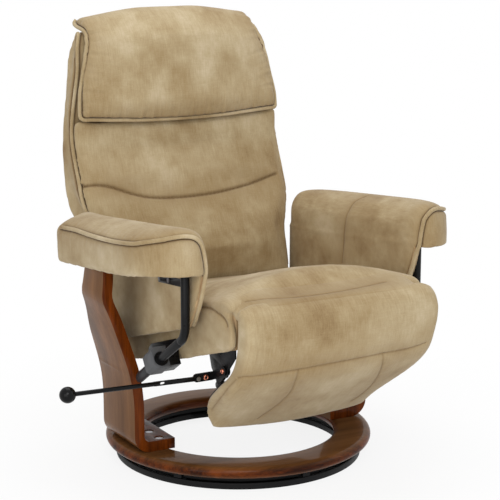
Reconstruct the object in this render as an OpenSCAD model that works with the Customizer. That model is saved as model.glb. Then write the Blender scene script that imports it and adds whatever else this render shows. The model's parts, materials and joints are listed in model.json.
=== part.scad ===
// Reclining armchair on a swivel ring base, with a fold-out footrest.
// Millimetres. The origin is the centre of the ring on the floor, +Z is up,
// the sitter looks along -Y and the sitter's right hand is on -X.

/* [Base] */
// Outer radius of the wooden ring
ring_r = 325; // [280:5:360]
// Width of the wooden ring, from its hole to its rim
ring_w = 90; // [60:2:110]
// Thickness of the wooden ring
ring_t = 28; // [20:1:40]
// Outer radius of the steel ring on the floor
floor_r = 300; // [260:5:330]
// Height of the steel ring on the floor
floor_h = 15; // [12:1:18]
// Height of the turning ring between the floor ring and the wood
turn_h = 12; // [8:1:20]
// Number of sliding pads between the two steel rings
pad_count = 6; // [3:1:10]

/* [Legs] */
// Thickness of the bent laminated leg
leg_t = 25; // [20:1:28]
// Distance of the upright part of a leg from the middle plane
leg_x = 307.5; // [300:0.5:315]
// Distance of the top of a leg from the middle plane
leg_top_x = 381; // [360:1:381]
// Height at which a leg starts to lean out
leg_lean_z = 228; // [200:1:250]
// Height at which a leg stands upright again
leg_high_z = 440; // [410:1:450]
// Front edge of a leg
leg_front_y = -82; // [-95:1:-75]
// Depth of a leg at its foot
leg_depth = 174; // [140:2:190]
// Depth of a leg under the armrest
leg_top_depth = 98; // [80:2:130]

/* [Arm tubes] */
// Radius of the steel arm tube
tube_r = 10; // [8:0.5:12]
// Wall of the steel arm tube
tube_wall = 2; // [1.5:0.5:3]
// Distance of the tube from the middle plane
tube_x = 304; // [302:1:306]
// Front of the tube, where it stands upright
tube_y = -311.5; // [-320:0.5:-305]
// Height of the corner where the tube turns back
tube_z = 394.4; // [388:0.4:400]
// Slope of the lower run, which is the glide rail
rail_slope = 33; // [30:0.5:36]
// Bend radius of the tube at its middle
tube_bend = 50; // [40:1:60]

/* [Glide] */
// How far the seat glides forward and up
glide_travel = 60; // [30:1:62]
// Distance along Y of the glide block from the middle of the base at rest
block_y = -168; // [-178:1:-158]
// Length of the glide block along the rail
block_l = 53; // [40:1:60]
// Width of the glide block across the chair
block_w = 38; // [32:1:40]
// Height of the glide block, square to the rail
block_h = 50; // [42:1:54]

/* [Armrests] */
// Distance of the inner face of the armrest from the middle plane
arm_in = 266; // [262:1:270]
// Distance of the outer face of the armrest from the middle plane
arm_out = 406; // [396:1:420]
// Front end of the armrest pad
arm_front = -374; // [-385:1:-362]
// Rear end of the armrest pad
arm_back = 162; // [140:1:175]
// Downward slope of the armrest to the rear
arm_slope = 5.5; // [2:0.5:8]
// Height of the armrest board's underside above the leg
arm_z = 523; // [510:1:535]
// Thickness of the armrest boards
board_t = 13; // [10:1:16]
// Height of the pad above its board
pad_h = 82; // [50:1:95]
// Depth of the lip below the board's underside
lip_h = 16; // [8:1:24]
// How much less deep the lip is at the front
lip_rise = 9; // [0:1:12]

/* [Seat] */
// Half the width of the seat
seat_hw = 250; // [230:1:255]
// Thickness of the side rails
rail_t = 20; // [15:1:24]
// Crown of the seat cushion in the middle
seat_crown = 50; // [20:1:60]

/* [Footrest] */
// Half the width of the footrest at the top
foot_hw = 248; // [225:1:252]
// How much narrower the footrest is at its tip, as a share
foot_taper = 0.16; // [0:0.01:0.25]
// Crown of the footrest pad in the middle
foot_crown = 16; // [5:1:25]
// Distance along Y of the footrest hinge
hinge_y = -426; // [-430:1:-420]
// Height of the footrest hinge
hinge_z = 477; // [470:1:485]
// Distance along Y of the lever shaft
shaft_y = -323; // [-330:1:-316]
// Height of the lever shaft
shaft_z = 308; // [302:1:316]
// Length of the cranks and of the footrest's ears
crank_l = 64; // [54:1:70]

/* [Lever] */
// Length of the hand lever from its pivot to the ball
lever_l = 313; // [200:1:330]
// Radius of the lever rod
lever_r = 5; // [4:0.5:6]
// Radius of the ball
ball_r = 18; // [14:1:22]

/* [Back] */
// Half the width of the back above the armrests
back_hw = 296; // [270:1:310]
// Half the width of the back between the armrests
back_low_hw = 256; // [240:1:258]
// Crown of the back cushion in the middle
back_crown = 38; // [15:1:50]
// Half the width of the headrest at its lower edge
head_hw = 293; // [260:1:300]
// Crown of the headrest in the middle
head_crown = 34; // [10:1:45]
// Distance along Y of the recline pivot
recline_y = 158; // [150:1:165]
// Height of the recline pivot
recline_z = 318; // [305:1:330]

/* [Hidden] */

// Clearances: a turning fit, a soft gap and a face-to-face seat
fit = 0.05;
soft = 0.4;
// Segments of a full circle on visible round parts
fine = 96;
small = 32;

wood = [0.42, 0.17, 0.07];
black = [0.06, 0.06, 0.07];
grey = [0.38, 0.38, 0.38];
steel = [0.55, 0.55, 0.57];
cloth = [0.66, 0.58, 0.44];
ply = [0.75, 0.62, 0.44];

ring_z = floor_h + turn_h + 4;
foot_z = ring_z + ring_t;

// The armrest board's underside slopes down to the rear
arm_mid = -115;
function arm_u(y) = arm_z - (y - arm_mid) * tan(arm_slope);
// Places a shape in the armrest's own frame: +Y along it, 0 at its underside
module on_arm() { translate([0, arm_mid, arm_z]) rotate([-arm_slope, 0, 0]) children(); }
function along(y) = (y - arm_mid) / cos(arm_slope);

// Shared geometry helpers

module both() { children(); mirror([1, 0, 0]) children(); }
// A pair's right piece is the one on -X
module right_side() { mirror([1, 0, 0]) children(); }
// Draws a side view, given as [y, z], as a slab between two distances from the middle plane
module slab(x0, x1) {
  multmatrix([[0, 0, 1, x0], [1, 0, 0, 0], [0, 1, 0, 0], [0, 0, 0, 1]])
    linear_extrude(x1 - x0) children();
}
// A rod along X
module rod(x0, x1, y, z, r) {
  translate([x0, y, z]) rotate([0, 90, 0]) cylinder(h = x1 - x0, r = r, $fn = small);
}
module disc(p, r) { translate(p) circle(r, $fn = small); }
// A flat bar with round ends and round corners in a side view, along two or more points.
// Its straight sides lie just inside the rounds.
bar_waist = 0.2;
module bar(points, r) {
  for (p = points) disc(p, r);
  for (i = [1 : len(points) - 1]) let (a = points[i - 1], d = points[i] - a)
    translate(a) rotate(atan2(d[1], d[0])) translate([0, bar_waist - r]) square([norm(d), 2 * (r - bar_waist)]);
}
function unit(v) = v / norm(v);
// A smooth closed curve through points, with n steps between neighbours
function blend4(a, b, c, d, t) =
  0.5 * (2 * b + (c - a) * t + (2 * a - 5 * b + 4 * c - d) * t * t + (3 * b - a - 3 * c + d) * t * t * t);
function closed_curve(p, n) = let (k = len(p))
  [for (i = [0 : k - 1]) for (j = [0 : n - 1])
    blend4(p[(i + k - 1) % k], p[i], p[(i + 1) % k], p[(i + 2) % k], j / n)];
// Outward directions of an outline [y, z] whose points run anticlockwise
function normals(p) = let (k = len(p))
  [for (i = [0 : k - 1]) let (d = p[(i + 1) % k] - p[(i + k - 1) % k]) unit([d[1], -d[0]])];
// Joins rings of points into one closed skin. Each end is a strip that starts at the
// ring's point number tip and runs between its two sides, so a bent outline closes too.
module loft(rings, tip = 0) {
  n = len(rings[0]);
  m = len(rings);
  sides = [for (i = [0 : m - 2]) for (j = [0 : n - 1]) let (a = i * n + j, b = i * n + (j + 1) % n)
    each [[a, b + n, b], [a, a + n, b + n]]];
  cap = [for (k = [0 : n / 2 - 1]) let (a = (tip + k) % n, a1 = (a + 1) % n, b = (tip + n - k) % n,
      b1 = (b + n - 1) % n) each concat(a == b ? [] : [[a, a1, b]], a1 == b1 ? [] : [[a1, b1, b]])];
  last = [for (f = cap) [for (i = [2, 1, 0]) f[i] + (m - 1) * n]];
  polyhedron(points = [for (r = rings) each r], faces = concat(sides, cap, last));
}
// A soft form: a side outline [y, z], running anticlockwise, carried across the width.
// rim rounds its two ends, push(direction, t, point) moves the skin outwards, and
// width(point) is the share of the half width at that point. tip is the number of the
// outline's point, or the half way to the next, that lies at one of its narrow ends.
module cushion(side, hw, rim, push, width, tip = 0, steps = 2, cols = 8) {
  p = closed_curve(side, steps);
  n = normals(p);
  middle = spine(p, tip * steps);
  inner = hw - rim;
  xs = concat([for (a = [90 : -30 : 30]) -inner - rim * sin(a)],
    [for (i = [0 : cols]) inner * (2 * i / cols - 1)],
    [for (a = [30 : 30 : 90]) inner + rim * sin(a)]);
  // The rounding draws a point towards the outline's middle line, less where it is thin
  draw = [for (j = [0 : len(p) - 1]) let (d = middle[j] - p[j]) min(rim, 0.8 * norm(d)) * unit(d)];
  function inset(x) = let (q = max(0, (abs(x) - inner) / rim)) 1 - sqrt(max(0, 1 - q * q));
  loft([for (x = xs) [for (j = [0 : len(p) - 1])
    let (b = p[j] + n[j] * push(n[j], x / hw, p[j]) + draw[j] * inset(x))
    [x * width(p[j]), b[0], b[1]]]], tip * steps);
}
// For each point of an outline, the middle of the strip between its two sides
function spine(p, tip) = let (k = len(p))
  [for (j = [0 : k - 1])
    let (a = (j + k - tip) % k, m = max(2, min(k / 2 - 2, min(a, k - a))))
    (p[(tip + m) % k] + p[(tip + k - m) % k]) / 2];
// Share of a crown left at t, from 1 in the middle to 0 at the sides
function dome(t) = 1 - t * t;
function ramp(a, b, x) = min(1, max(0, (x - a) / (b - a)));
function smooth(a, b, x) = let (s = ramp(a, b, x)) s * s * (3 - 2 * s);
// A sewn channel, deepest where u is 0 and fading out over w
function channel(depth, w, u) = depth * exp(-(u / w) * (u / w));

// Base

module ring_section(r_in, r_out, h) {
  translate([r_in + h / 2, 0]) circle(h / 2, $fn = small);
  translate([r_out - h / 2, 0]) circle(h / 2, $fn = small);
  translate([r_in + h / 2, -h / 2]) square([r_out - r_in - h, h]);
}
// A channel that lies on the floor and holds the sliding pads
channel_w = 46;
channel_wall = 5;
module floor_ring() {
  color(black) rotate_extrude($fn = fine) {
    translate([floor_r - channel_w, 0]) square([channel_w, channel_wall]);
    for (r = [floor_r - channel_w + channel_wall / 2, floor_r - channel_wall / 2])
      translate([r, channel_wall]) {
        translate([-channel_wall / 2, -0.01]) square([channel_wall, floor_h - 1.5 * channel_wall + 0.01]);
        translate([0, floor_h - 1.5 * channel_wall]) circle(channel_wall / 2, $fn = small);
      }
  }
}
// Pads sit in the channel and carry the turning ring
pad_l = 40;
pad_turn = -27;
module ring_pads() {
  pad_w = channel_w - 2 * channel_wall - 2.6;
  color(grey) for (i = [0 : pad_count - 1])
    rotate(pad_turn + i * 360 / pad_count) {
      translate([floor_r - channel_w / 2 - pad_w / 2, -pad_l / 2, channel_wall])
        cube([pad_w, pad_l, floor_h - channel_wall + 1]);
      // The lug that shows between the two rings
      translate([floor_r - channel_wall - 2, -pad_l / 4, floor_h + 1])
        cube([channel_wall + 1, pad_l / 2, turn_h - 1]);
    }
}
// The turning ring hangs under the wood, on the pads and inside their lugs
turn_r = floor_r - channel_wall - 2.5;
module turn_ring() {
  color(black) rotate_extrude($fn = fine) {
    translate([floor_r - channel_w + channel_wall, floor_h + 1.3])
      square([turn_r - floor_r + channel_w - channel_wall, turn_h]);
    translate([floor_r - channel_w + channel_wall + 8, floor_h + 1.3 + turn_h - 0.01])
      square([turn_r - floor_r + channel_w - channel_wall - 14, ring_z - floor_h - 1.3 - turn_h + 0.01]);
  }
}
// Bolts that hold a leg's foot to the ring: [x, y] on the left leg
bolts = [for (y = [-62, -9, 44]) [248, y]];
bolt_r = 4;
bolt_head_r = 10;
bolt_head_h = 4;
bolt_grip = 18;
module bolt_cuts(r_head, r_shank, z0, z1, z2) {
  for (b = bolts) {
    translate([b[0], b[1], z0]) cylinder(h = z1 - z0, r = r_shank, $fn = small);
    translate([b[0], b[1], z1 - 0.01]) cylinder(h = z2 - z1 + 0.01, r = r_head, $fn = small);
  }
}
module base_ring() {
  color(wood) difference() {
    translate([0, 0, ring_z + ring_t / 2]) rotate_extrude($fn = 2 * fine)
      ring_section(ring_r - ring_w, ring_r, ring_t);
    both() for (b = bolts)
      translate([b[0], b[1], foot_z - bolt_grip - 1]) cylinder(h = bolt_grip + 2, r = bolt_r + fit, $fn = small);
  }
}

// Legs

// Middle line of a leg from its foot's tip to its top, as corners [x, z, radius]
foot_mid = foot_z + leg_t / 2;
foot_tip = ring_r - ring_w - 19;
leg_top_z = arm_u(leg_front_y + leg_top_depth) - 1;
leg_corners = [[foot_tip, foot_mid, 0], [leg_x, foot_mid, 28], [leg_x, leg_lean_z, 150],
  [leg_top_x, leg_high_z, 90], [leg_top_x, leg_top_z, 0]];
// Points and headings along corners whose bends have a radius
function route(c, step = 5) = concat([[c[0], unit(xz(c[1]) - xz(c[0]))]],
  [for (i = [1 : len(c) - 2])
    let (a = unit(xz(c[i]) - xz(c[i - 1])), b = unit(xz(c[i + 1]) - xz(c[i])),
      turn = atan2(a[0] * b[1] - a[1] * b[0], a * b), r = c[i][2], cut = r * tan(abs(turn) / 2),
      start = xz(c[i]) - a * cut, side = sign(turn) * [-a[1], a[0]],
      n = max(2, ceil(abs(turn) / step)))
    for (k = [0 : n]) let (g = turn * k / n, d = [a[0] * cos(g) - a[1] * sin(g), a[0] * sin(g) + a[1] * cos(g)])
      [start + side * r + (sign(turn) * [d[1], -d[0]]) * r, d]],
  [[c[len(c) - 1], unit(xz(c[len(c) - 1]) - xz(c[len(c) - 2]))]]);
function xz(c) = [c[0], c[1]];
function band(c, t) = let (p = route(c)) concat(
  [for (q = p) xz(q[0]) + t / 2 * [q[1][1], -q[1][0]]],
  [for (i = [len(p) - 1 : -1 : 0]) xz(p[i][0]) - t / 2 * [p[i][1][1], -p[i][1][0]]]);
module leg_shape() {
  back = leg_front_y + leg_depth;
  top_back = leg_front_y + leg_top_depth;
  difference() {
    intersection() {
      translate([0, back, 0]) rotate([90, 0, 0]) linear_extrude(leg_depth) polygon(band(leg_corners, leg_t));
      slab(foot_tip - 5, leg_top_x + leg_t) polygon([[leg_front_y, foot_z - 1], [back, foot_z - 1],
        for (s = [0 : 0.1 : 1]) [back + (top_back - back) * s * s * (1.6 - 0.6 * s), 250 + s * (leg_top_z - 250)],
        [leg_front_y, leg_top_z]]);
      // The top follows the armrest's underside
      slab(foot_tip - 5, leg_top_x + leg_t) polygon([[leg_front_y - 1, 0], [back + 1, 0],
        [back + 1, arm_u(back + 1) - soft], [leg_front_y - 1, arm_u(leg_front_y - 1) - soft]]);
    }
    bolt_cuts(bolt_head_r + 1, bolt_r + fit, foot_z - 1, foot_z + leg_t - bolt_head_h - 2, foot_z + leg_t + 1);
  }
}
module leg_left() { color(wood) leg_shape(); }
module leg_right() { color(wood) right_side() leg_shape(); }
module leg_bolts() {
  color(steel) both()
    bolt_cuts(bolt_head_r, bolt_r, foot_z - bolt_grip, foot_z + leg_t - bolt_head_h - 2, foot_z + leg_t - 2);
}

// Arm tubes. The lower run is the rail that the seat glides on.

rail_turn = 90 - rail_slope;
bend_z = tube_z + tube_bend * tan(rail_turn / 2);
bend_end_y = tube_y + tube_bend * (1 - cos(rail_turn));
tube_plate_t = 4;
function rail_z(y) = tube_z - (y - tube_y) * tan(rail_slope);
// Places a shape on the rail, its +Y down the rail
module rail(y) { translate([tube_x, y, rail_z(y)]) rotate([-rail_slope, 0, 0]) children(); }
module along_rail(y, length, r) { rail(y) rotate([-90, 0, 0]) cylinder(h = length, r = r, $fn = small); }
module tube_path(r) {
  translate([tube_x, tube_y, bend_z]) cylinder(h = arm_z + 30 - bend_z, r = r, $fn = small);
  multmatrix([[0, 0, 1, tube_x], [1, 0, 0, tube_y + tube_bend], [0, 1, 0, bend_z], [0, 0, 0, 1]])
    rotate(180) rotate_extrude(angle = rail_turn, $fn = fine) translate([tube_bend, 0]) circle(r, $fn = small);
  along_rail(bend_end_y, (leg_front_y + 3 * r - bend_end_y) / cos(rail_slope), r);
}
module arm_tube() {
  difference() {
    tube_path(tube_r);
    tube_path(tube_r - tube_wall);
    translate([tube_x - 30, leg_front_y, 0]) cube([60, 100, 600]);
    on_arm() translate([tube_x - 30, along(tube_y) - 60, -tube_plate_t - soft]) cube([60, 120, 100]);
  }
}
module arm_tube_left() { color(black) arm_tube(); }
module arm_tube_right() { color(black) right_side() arm_tube(); }
// A sleeve on the tube below the block stops the glide at its rest place
sleeve_r = tube_r + 2;
block_end_y = block_y + block_l / 2 * cos(rail_slope);
module rail_sleeve() {
  difference() {
    along_rail(block_end_y + soft, 200, sleeve_r);
    along_rail(block_end_y - 10, 300, tube_r + fit);
    translate([tube_x - 30, leg_front_y - soft, 0]) cube([60, 200, 600]);
  }
}
module rail_sleeve_left() { color(grey) rail_sleeve(); }
module rail_sleeve_right() { color(grey) right_side() rail_sleeve(); }
// Bracket on the tube's top: a plate under the armrest and a strip on the panel
strip_y = [-290, -150];
strip_z = [-42, -24];
strip_holes = [-204, -159];
screw_r = 2.5;
module tube_bracket() {
  difference() {
    on_arm() {
      translate([panel_out + 0.2, along(tube_y) - 35, -tube_plate_t - 0.2])
        cube([tube_x + 30 - panel_out, 62, tube_plate_t]);
      translate([panel_out + 0.2, along(strip_y[0]), strip_z[0]])
        cube([3, strip_y[1] - strip_y[0], strip_z[1] - strip_z[0]]);
      translate([panel_out + 0.2, along(strip_y[0]), strip_z[0]]) cube([3, 20, -strip_z[0] - 0.2]);
    }
    on_arm() for (y = strip_holes)
      translate([panel_out - 1, along(y), (strip_z[0] + strip_z[1]) / 2]) rotate([0, 90, 0])
        cylinder(h = 10, r = screw_r + fit, $fn = small);
    on_arm() translate([tube_x + 22, along(tube_y), -10]) cylinder(h = 12, r = screw_r + fit, $fn = small);
  }
}
module tube_bracket_left() { color(black) tube_bracket(); }
module tube_bracket_right() { color(black) right_side() tube_bracket(); }
module arm_screws() {
  color(steel) both() on_arm() {
    for (y = strip_holes) translate([panel_out + 5.8, along(y), (strip_z[0] + strip_z[1]) / 2])
      rotate([0, -90, 0]) {
        cylinder(h = 14, r = screw_r, $fn = small);
        cylinder(h = 2.5, r = 5, $fn = small);
      }
    translate([tube_x + 22, along(tube_y), -tube_plate_t - 2.8]) {
      cylinder(h = 12, r = screw_r, $fn = small);
      cylinder(h = 2.5, r = 5, $fn = small);
    }
  }
}

// Armrests: two boards in an L, a covered panel and a thick pad with a lip

panel_skin = 5;
panel_out = arm_in + panel_skin + board_t + panel_skin - 1;
board_x = arm_in + panel_skin;
panel_edge = [[-268, 398], [0, 317], [100, 288], [146, 276], [160, 284], [168, 320]];
panel_front = -352;
module panel_side(grow) {
  polygon(concat(
    [for (p = panel_edge) p + grow * [sign(p[0]) * 0.3, -1]],
    [[168 + grow, arm_u(168)], [panel_front - grow, arm_u(panel_front)], [panel_front - grow, 530],
      [-342 - grow, 504], [-325 - grow, 466], [-304 - grow, 430], [-285 - grow, 408]]));
}
// Plan of the armrest, drawn in by d: a nose whose outer side sweeps back further
nose_x = 306;
nose_in = 45;
nose_out = 150;
function arm_plan(d) = let (x = board_x - (12 - d) * 0.6, front = along(arm_front), rear = along(arm_back) - d)
  concat([[x, rear]],
    [for (a = [180 : 15 : 270]) [nose_x + (nose_x - x) * cos(a), front + nose_in + (nose_in - d) * sin(a)]],
    [for (a = [285 : 15 : 360]) [nose_x + (arm_out - d - nose_x) * cos(a), front + nose_out + (nose_out - d) * sin(a)]],
    [[arm_out - d, rear - 20], [arm_out - d - 20, rear]]);
module arm_frame() {
  slab(board_x, board_x + board_t) panel_side(-4);
  on_arm() difference() {
    linear_extrude(board_t) polygon(arm_plan(12));
    translate([tube_x + 22, along(tube_y), -1]) cylinder(h = 9, r = screw_r + fit, $fn = small);
  }
}
module arm_frame_left() { color(ply) difference() { arm_frame(); strip_screw_holes(); } }
module arm_frame_right() { color(ply) right_side() difference() { arm_frame(); strip_screw_holes(); } }
module strip_screw_holes() {
  on_arm() for (y = strip_holes)
    translate([board_x + 2, along(y), (strip_z[0] + strip_z[1]) / 2]) rotate([0, 90, 0])
      cylinder(h = 30, r = screw_r + fit, $fn = small);
}
module arm_panel() {
  difference() {
    slab(arm_in, panel_out) intersection() {
      panel_side(0);
      polygon([[-400, 200], [200, 200], [200, arm_u(200) - soft], [-400, arm_u(-400) - soft]]);
    }
    // Its front edge is rounded towards the seat
    on_arm() translate([0, 0, -300]) linear_extrude(400) difference() {
      translate([arm_in - 20, along(arm_front) - 20]) square([panel_out - arm_in + 30, 100]);
      polygon(arm_plan(1));
    }
    slab(board_x - 0.2, board_x + board_t + 0.2) panel_side(-3.7);
    strip_screw_holes();
  }
}
module arm_panel_left() { color(cloth) arm_panel(); }
module arm_panel_right() { color(cloth) right_side() arm_panel(); }
// Height of a quarter round of length r at a distance q from its end
function quarter(q, r) = sqrt(max(0, 1 - pow(1 - min(1, q / r), 2)));
// Section of the pad across the armrest, at distances from its front and its rear end
function arm_section(front, rear) = let (
    xi = nose_x - (nose_x - arm_in) * max(0.1, quarter(front, nose_in)),
    xo = nose_x + (arm_out - nose_x) * max(0.1, quarter(front, nose_out)) - 8 * (1 - quarter(rear, 18)),
    s = (xo - xi) / (arm_out - arm_in), low = lip_rise * smooth(-210, -60, -front) - lip_h,
    top = board_t + pad_h - 36 * (1 - quarter(front, 44)) - 12 * (1 - quarter(rear, 24)), shoulder = top - 30)
  [[xi + 3 * s, low], [(xi + xo) / 2, low], [xo - 7 * s, low], [xo - 1, low + 6], [xo, low + 26],
    [xo, shoulder - 8], [xo - 3 * s, shoulder + 4], [xo - 20 * s, top - 14], [xo - 52 * s, top - 2],
    [xi + 52 * s, top], [xi + 22 * s, top - 10], [xi + 5 * s, top - 34], [xi, top - 62], [xi, low + 26]];
module arm_pad() {
  length = along(arm_back) - along(arm_front);
  stops = concat([0, 4, 18], [for (i = [1 : 4]) 18 + (length - 18 - nose_out) * i / 4],
    [for (a = [75, 60, 48, 36, 26, 16, 8, 0]) length - nose_out * (1 - cos(a))]);
  on_arm() difference() {
    loft([for (s = stops) [for (p = closed_curve(arm_section(length - s, s), 2))
      [p[0], along(arm_back) - s, p[1]]]]);
    // Open from below around the board, and cut off on the inside above the panel
    translate([0, 0, -60]) linear_extrude(60 + board_t + 0.3) polygon(arm_plan(11.5));
    translate([arm_in - 20, along(panel_front) - 0.5, -60]) cube([panel_out + 20.2 - arm_in, 600, 60.3]);
  }
}
module arm_pad_left() { color(cloth) arm_pad(); }
module arm_pad_right() { color(cloth) right_side() arm_pad(); }

// Seat frame: two side rails, a deck under the cushion's nose, a front rail and a rear rail

rail_in = seat_hw - 16 - rail_t;
deck_t = 12;
deck_y = [-402, -268];
// Top and bottom lines of the side rails
function rail_top(y) = 455 - (y + 390) * 0.154 - pow(y + 390, 2) * 0.000109;
function rail_low(y) = 372 - (y + 395) * 0.275;
// The deck runs straight between its two edges
deck_slope = (rail_top(deck_y[1]) - rail_top(deck_y[0])) / (deck_y[1] - deck_y[0]);
function deck_top(y) = rail_top(deck_y[0]) + (y - deck_y[0]) * deck_slope;
pivot_r = 6;
hinge_r = 3;
rail_end = 150;
rear_rail_y = 100;
module seat_frame() {
  color(ply) difference() {
    union() {
      both() slab(rail_in, rail_in + rail_t) polygon(concat(
        [[-412, rail_low(-412) + 3], [-300, rail_low(-300)], [rail_end, rail_low(rail_end)],
          [rail_end + 28, rail_low(rail_end) + 22], [rail_end + 34, 300], [rail_end + 26, rail_top(rail_end) - 12]],
        [for (y = [rail_end, 75, 0, -75, -150, deck_y[1], deck_y[0]]) [y, rail_top(y)]],
        [[-412, rail_top(deck_y[0]) - 10]]));
      slab(-rail_in, rail_in) {
        polygon([for (y = deck_y) [y, deck_top(y)], for (y = [deck_y[1], deck_y[0]]) [y, deck_top(y) - deck_t]]);
        translate([deck_y[1] - 20, rail_top(deck_y[1]) - 62]) square([20, 56]);
        translate([rear_rail_y, rail_top(rear_rail_y + 20) - 60]) square([20, 59]);
      }
    }
    both() slab(side_plate_x - fit, rail_in) side_plate_shape();
    both() rod(rail_in - 1, rail_in + rail_t + 1, recline_y, recline_z, pivot_r + fit);
  }
}
// A zigzag spring wire from the deck to the rear rail
wire_r = 1.9;
spring_count = 5;
spring_turns = 9;
spring_pitch = 88;
spring_half = 14;
module zigzag(length, turns, r) {
  step = length / turns;
  path = concat([[0, 0]],
    [for (i = [0 : turns - 1]) for (a = [-90 : 36 : 90])
      [(i % 2 == 0 ? 1 : -1) * (spring_half + step / 2 * cos(a)), (i + 0.5) * step + step / 2 * sin(a)]],
    [[0, length]]);
  last = len(path) - 1;
  loft([for (i = [0 : last]) let (d = unit(path[min(last, i + 1)] - path[max(0, i - 1)]))
    [for (a = [0 : 60 : 300]) [path[i][0] - r * cos(a) * d[1], path[i][1] + r * cos(a) * d[0], r * sin(a)]]]);
}
module seat_springs() {
  run = rear_rail_y - deck_y[1];
  drop = atan((rail_top(deck_y[1]) - rail_top(rear_rail_y)) / run);
  start = wire_r + 0.4;
  color(steel) for (i = [0 : spring_count - 1])
    translate([(i - (spring_count - 1) / 2) * spring_pitch, deck_y[1] + start, rail_top(deck_y[1]) - wire_r - 4])
      rotate([-drop, 0, 0]) zigzag((run - 2 * start) / cos(drop), spring_turns, wire_r);
}

// Seat cushion and covers

// The nose stops short of the footrest, which turns about the hinge in front of it
seat_outline = concat([[-416, 470]], [for (y = [-405, -300, -200, -100, 0, 75, 140]) [y, rail_top(y) + 0.8]],
  [[156, 352], [160, 370], [152, 386], [60, 400], [-60, 421], [-200, 447], [-320, 470], [-372, 482], [-402, 485],
    [-414, 479]]);
module seat_cushion() {
  color(cloth) difference() {
    cushion(seat_outline, seat_hw, 14,
      function(n, t, p) seat_crown * dome(t) * max(0, n[1]) * smooth(-425, -345, p[0])
        * (1 - 0.8 * smooth(-340, 150, p[0])),
      function(p) 1);
    hinge_notch();
  }
}
// Room for the hinge arms and the footrest's ears, in the nose and in the pad
module hinge_notch() {
  both() translate([arm_plate_x - 2, hinge_y - 11, hinge_z - 30]) cube([22, 32, 39]);
}
module seat_side() {
  difference() {
    slab(rail_in + rail_t + 0.3, seat_hw) polygon(closed_curve([[-421, 386], [-393, 371], [-314, 346],
      [-240, 322], [-165, 298], [45, 247], [140, 222], [176, 224], [190, 250], [190, 310], [176, 332],
      [150, rail_top(150) - 3], [20, rail_top(20) - 3], [-160, rail_top(-160) - 3], [-350, rail_top(-350) - 3],
      [-392, 448], [-414, 430], [-422, 406]], 3));
    glide_bolts(glide_bolt_r + fit, rail_in);
  }
}
module seat_side_left() { color(cloth) seat_side(); }
module seat_side_right() { color(cloth) right_side() seat_side(); }
// A thin cloth closes the seat from below, behind the lever shaft
cover_y = [-245, 140];
module dust_cover() {
  color([0.1, 0.1, 0.1]) slab(-rail_in + 0.3, rail_in - 0.3)
    polygon([for (y = cover_y) [y, rail_low(y) + 3], for (y = [cover_y[1], cover_y[0]]) [y, rail_low(y) + 5]]);
}

// Glide: a block with a bush runs on the rail and carries the seat

bush_r = tube_r + 4;
block_drop = 5;
bracket_x = [seat_hw + 2, seat_hw + 6];
module block_place() { rail(block_y) children(); }
module glide_block() {
  difference() {
    block_place() difference() {
      translate([-block_w / 2, -block_l / 2, -block_h / 2 + block_drop]) cube([block_w, block_l, block_h]);
      // The outer edges are cut off at a slant
      for (s = [0, 1]) mirror([0, 0, s]) translate([block_w / 2, 0, block_h / 2 + (s == 0 ? block_drop : -block_drop)])
        rotate([0, 45, 0]) cube([12, block_l + 2, 12], center = true);
    }
    along_rail(block_y - 100, 300, bush_r + fit);
  }
}
module glide_block_left() { color(grey) glide_block(); }
module glide_block_right() { color(grey) right_side() glide_block(); }
module glide_bush() {
  block_place() translate([0, -block_l / 2 - 2, 0]) rotate([-90, 0, 0]) difference() {
    union() {
      cylinder(h = block_l + 2, r = bush_r, $fn = small);
      cylinder(h = 1.8, r = bush_r + 2.5, $fn = small);
    }
    translate([0, 0, -1]) cylinder(h = block_l + 4, r = tube_r + fit, $fn = small);
  }
}
module glide_bush_left() { color(black) glide_bush(); }
module glide_bush_right() { color(black) right_side() glide_bush(); }
// Two bolts hold the bracket to the side rail, through the covered side
glide_bolt_r = 5;
module glide_bolts(r, start) {
  for (y = [block_y + 33, block_y + 113]) rod(start, bracket_x[1] + 3, y, rail_low(y) + 16, r);
}
// The bracket joins the block to the side rail, under the armrest's panel. It reaches back
// along the lower edge of the covered side.
bracket_y = [block_y - 8, block_y + 140];
bracket_h = 46;
module glide_bracket() {
  glide_bolts(glide_bolt_r, rail_in + rail_t + 0.2);
  slab(bracket_x[0], bracket_x[1]) polygon([
    [bracket_y[0], rail_low(bracket_y[0]) - 8], [bracket_y[1] - 6, rail_low(bracket_y[1]) - 4],
    [bracket_y[1], rail_low(bracket_y[1]) + 2], [bracket_y[1], rail_low(bracket_y[1]) + bracket_h - 22],
    [bracket_y[1] - 14, rail_low(bracket_y[1]) + bracket_h - 8],
    [bracket_y[0] + 12, rail_low(bracket_y[0]) + bracket_h - 8], [bracket_y[0], rail_low(bracket_y[0]) + bracket_h - 18]]);
  rail(block_y) {
    translate([bracket_x[1] - tube_x - 0.01, -block_l / 2 + 4, -block_h / 2 + block_drop + 3])
      cube([tube_x - block_w / 2 - bracket_x[1] - 0.1, block_l - 8, block_h - 6]);
  }
}
module glide_bracket_left() { color(black) glide_bracket(); }
module glide_bracket_right() { color(black) right_side() glide_bracket(); }

// Footrest linkage. Seen from the side it is a parallelogram: the hinge, the footrest's
// pin, the crank's pin and the shaft. Each layer has its own distance from the middle.

arm_plate_x = 189;
plate_t = 4;
ear_x = arm_plate_x + plate_t + 1;
link_x = ear_x + plate_t + 1;
crank_x = link_x + plate_t + 1.5;
side_plate_x = rail_in - 3.5;
crank_turn = -45;
crank = crank_l * [cos(crank_turn), sin(crank_turn)];
hinge = [hinge_y, hinge_z];
shaft = [shaft_y, shaft_z];
foot_pin = hinge + crank;
crank_pin = shaft + crank;
pin_r = 4;
shaft_r = 6;
// The open pivot has room for the play between the two chains
open_r = pin_r + 0.6;

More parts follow.
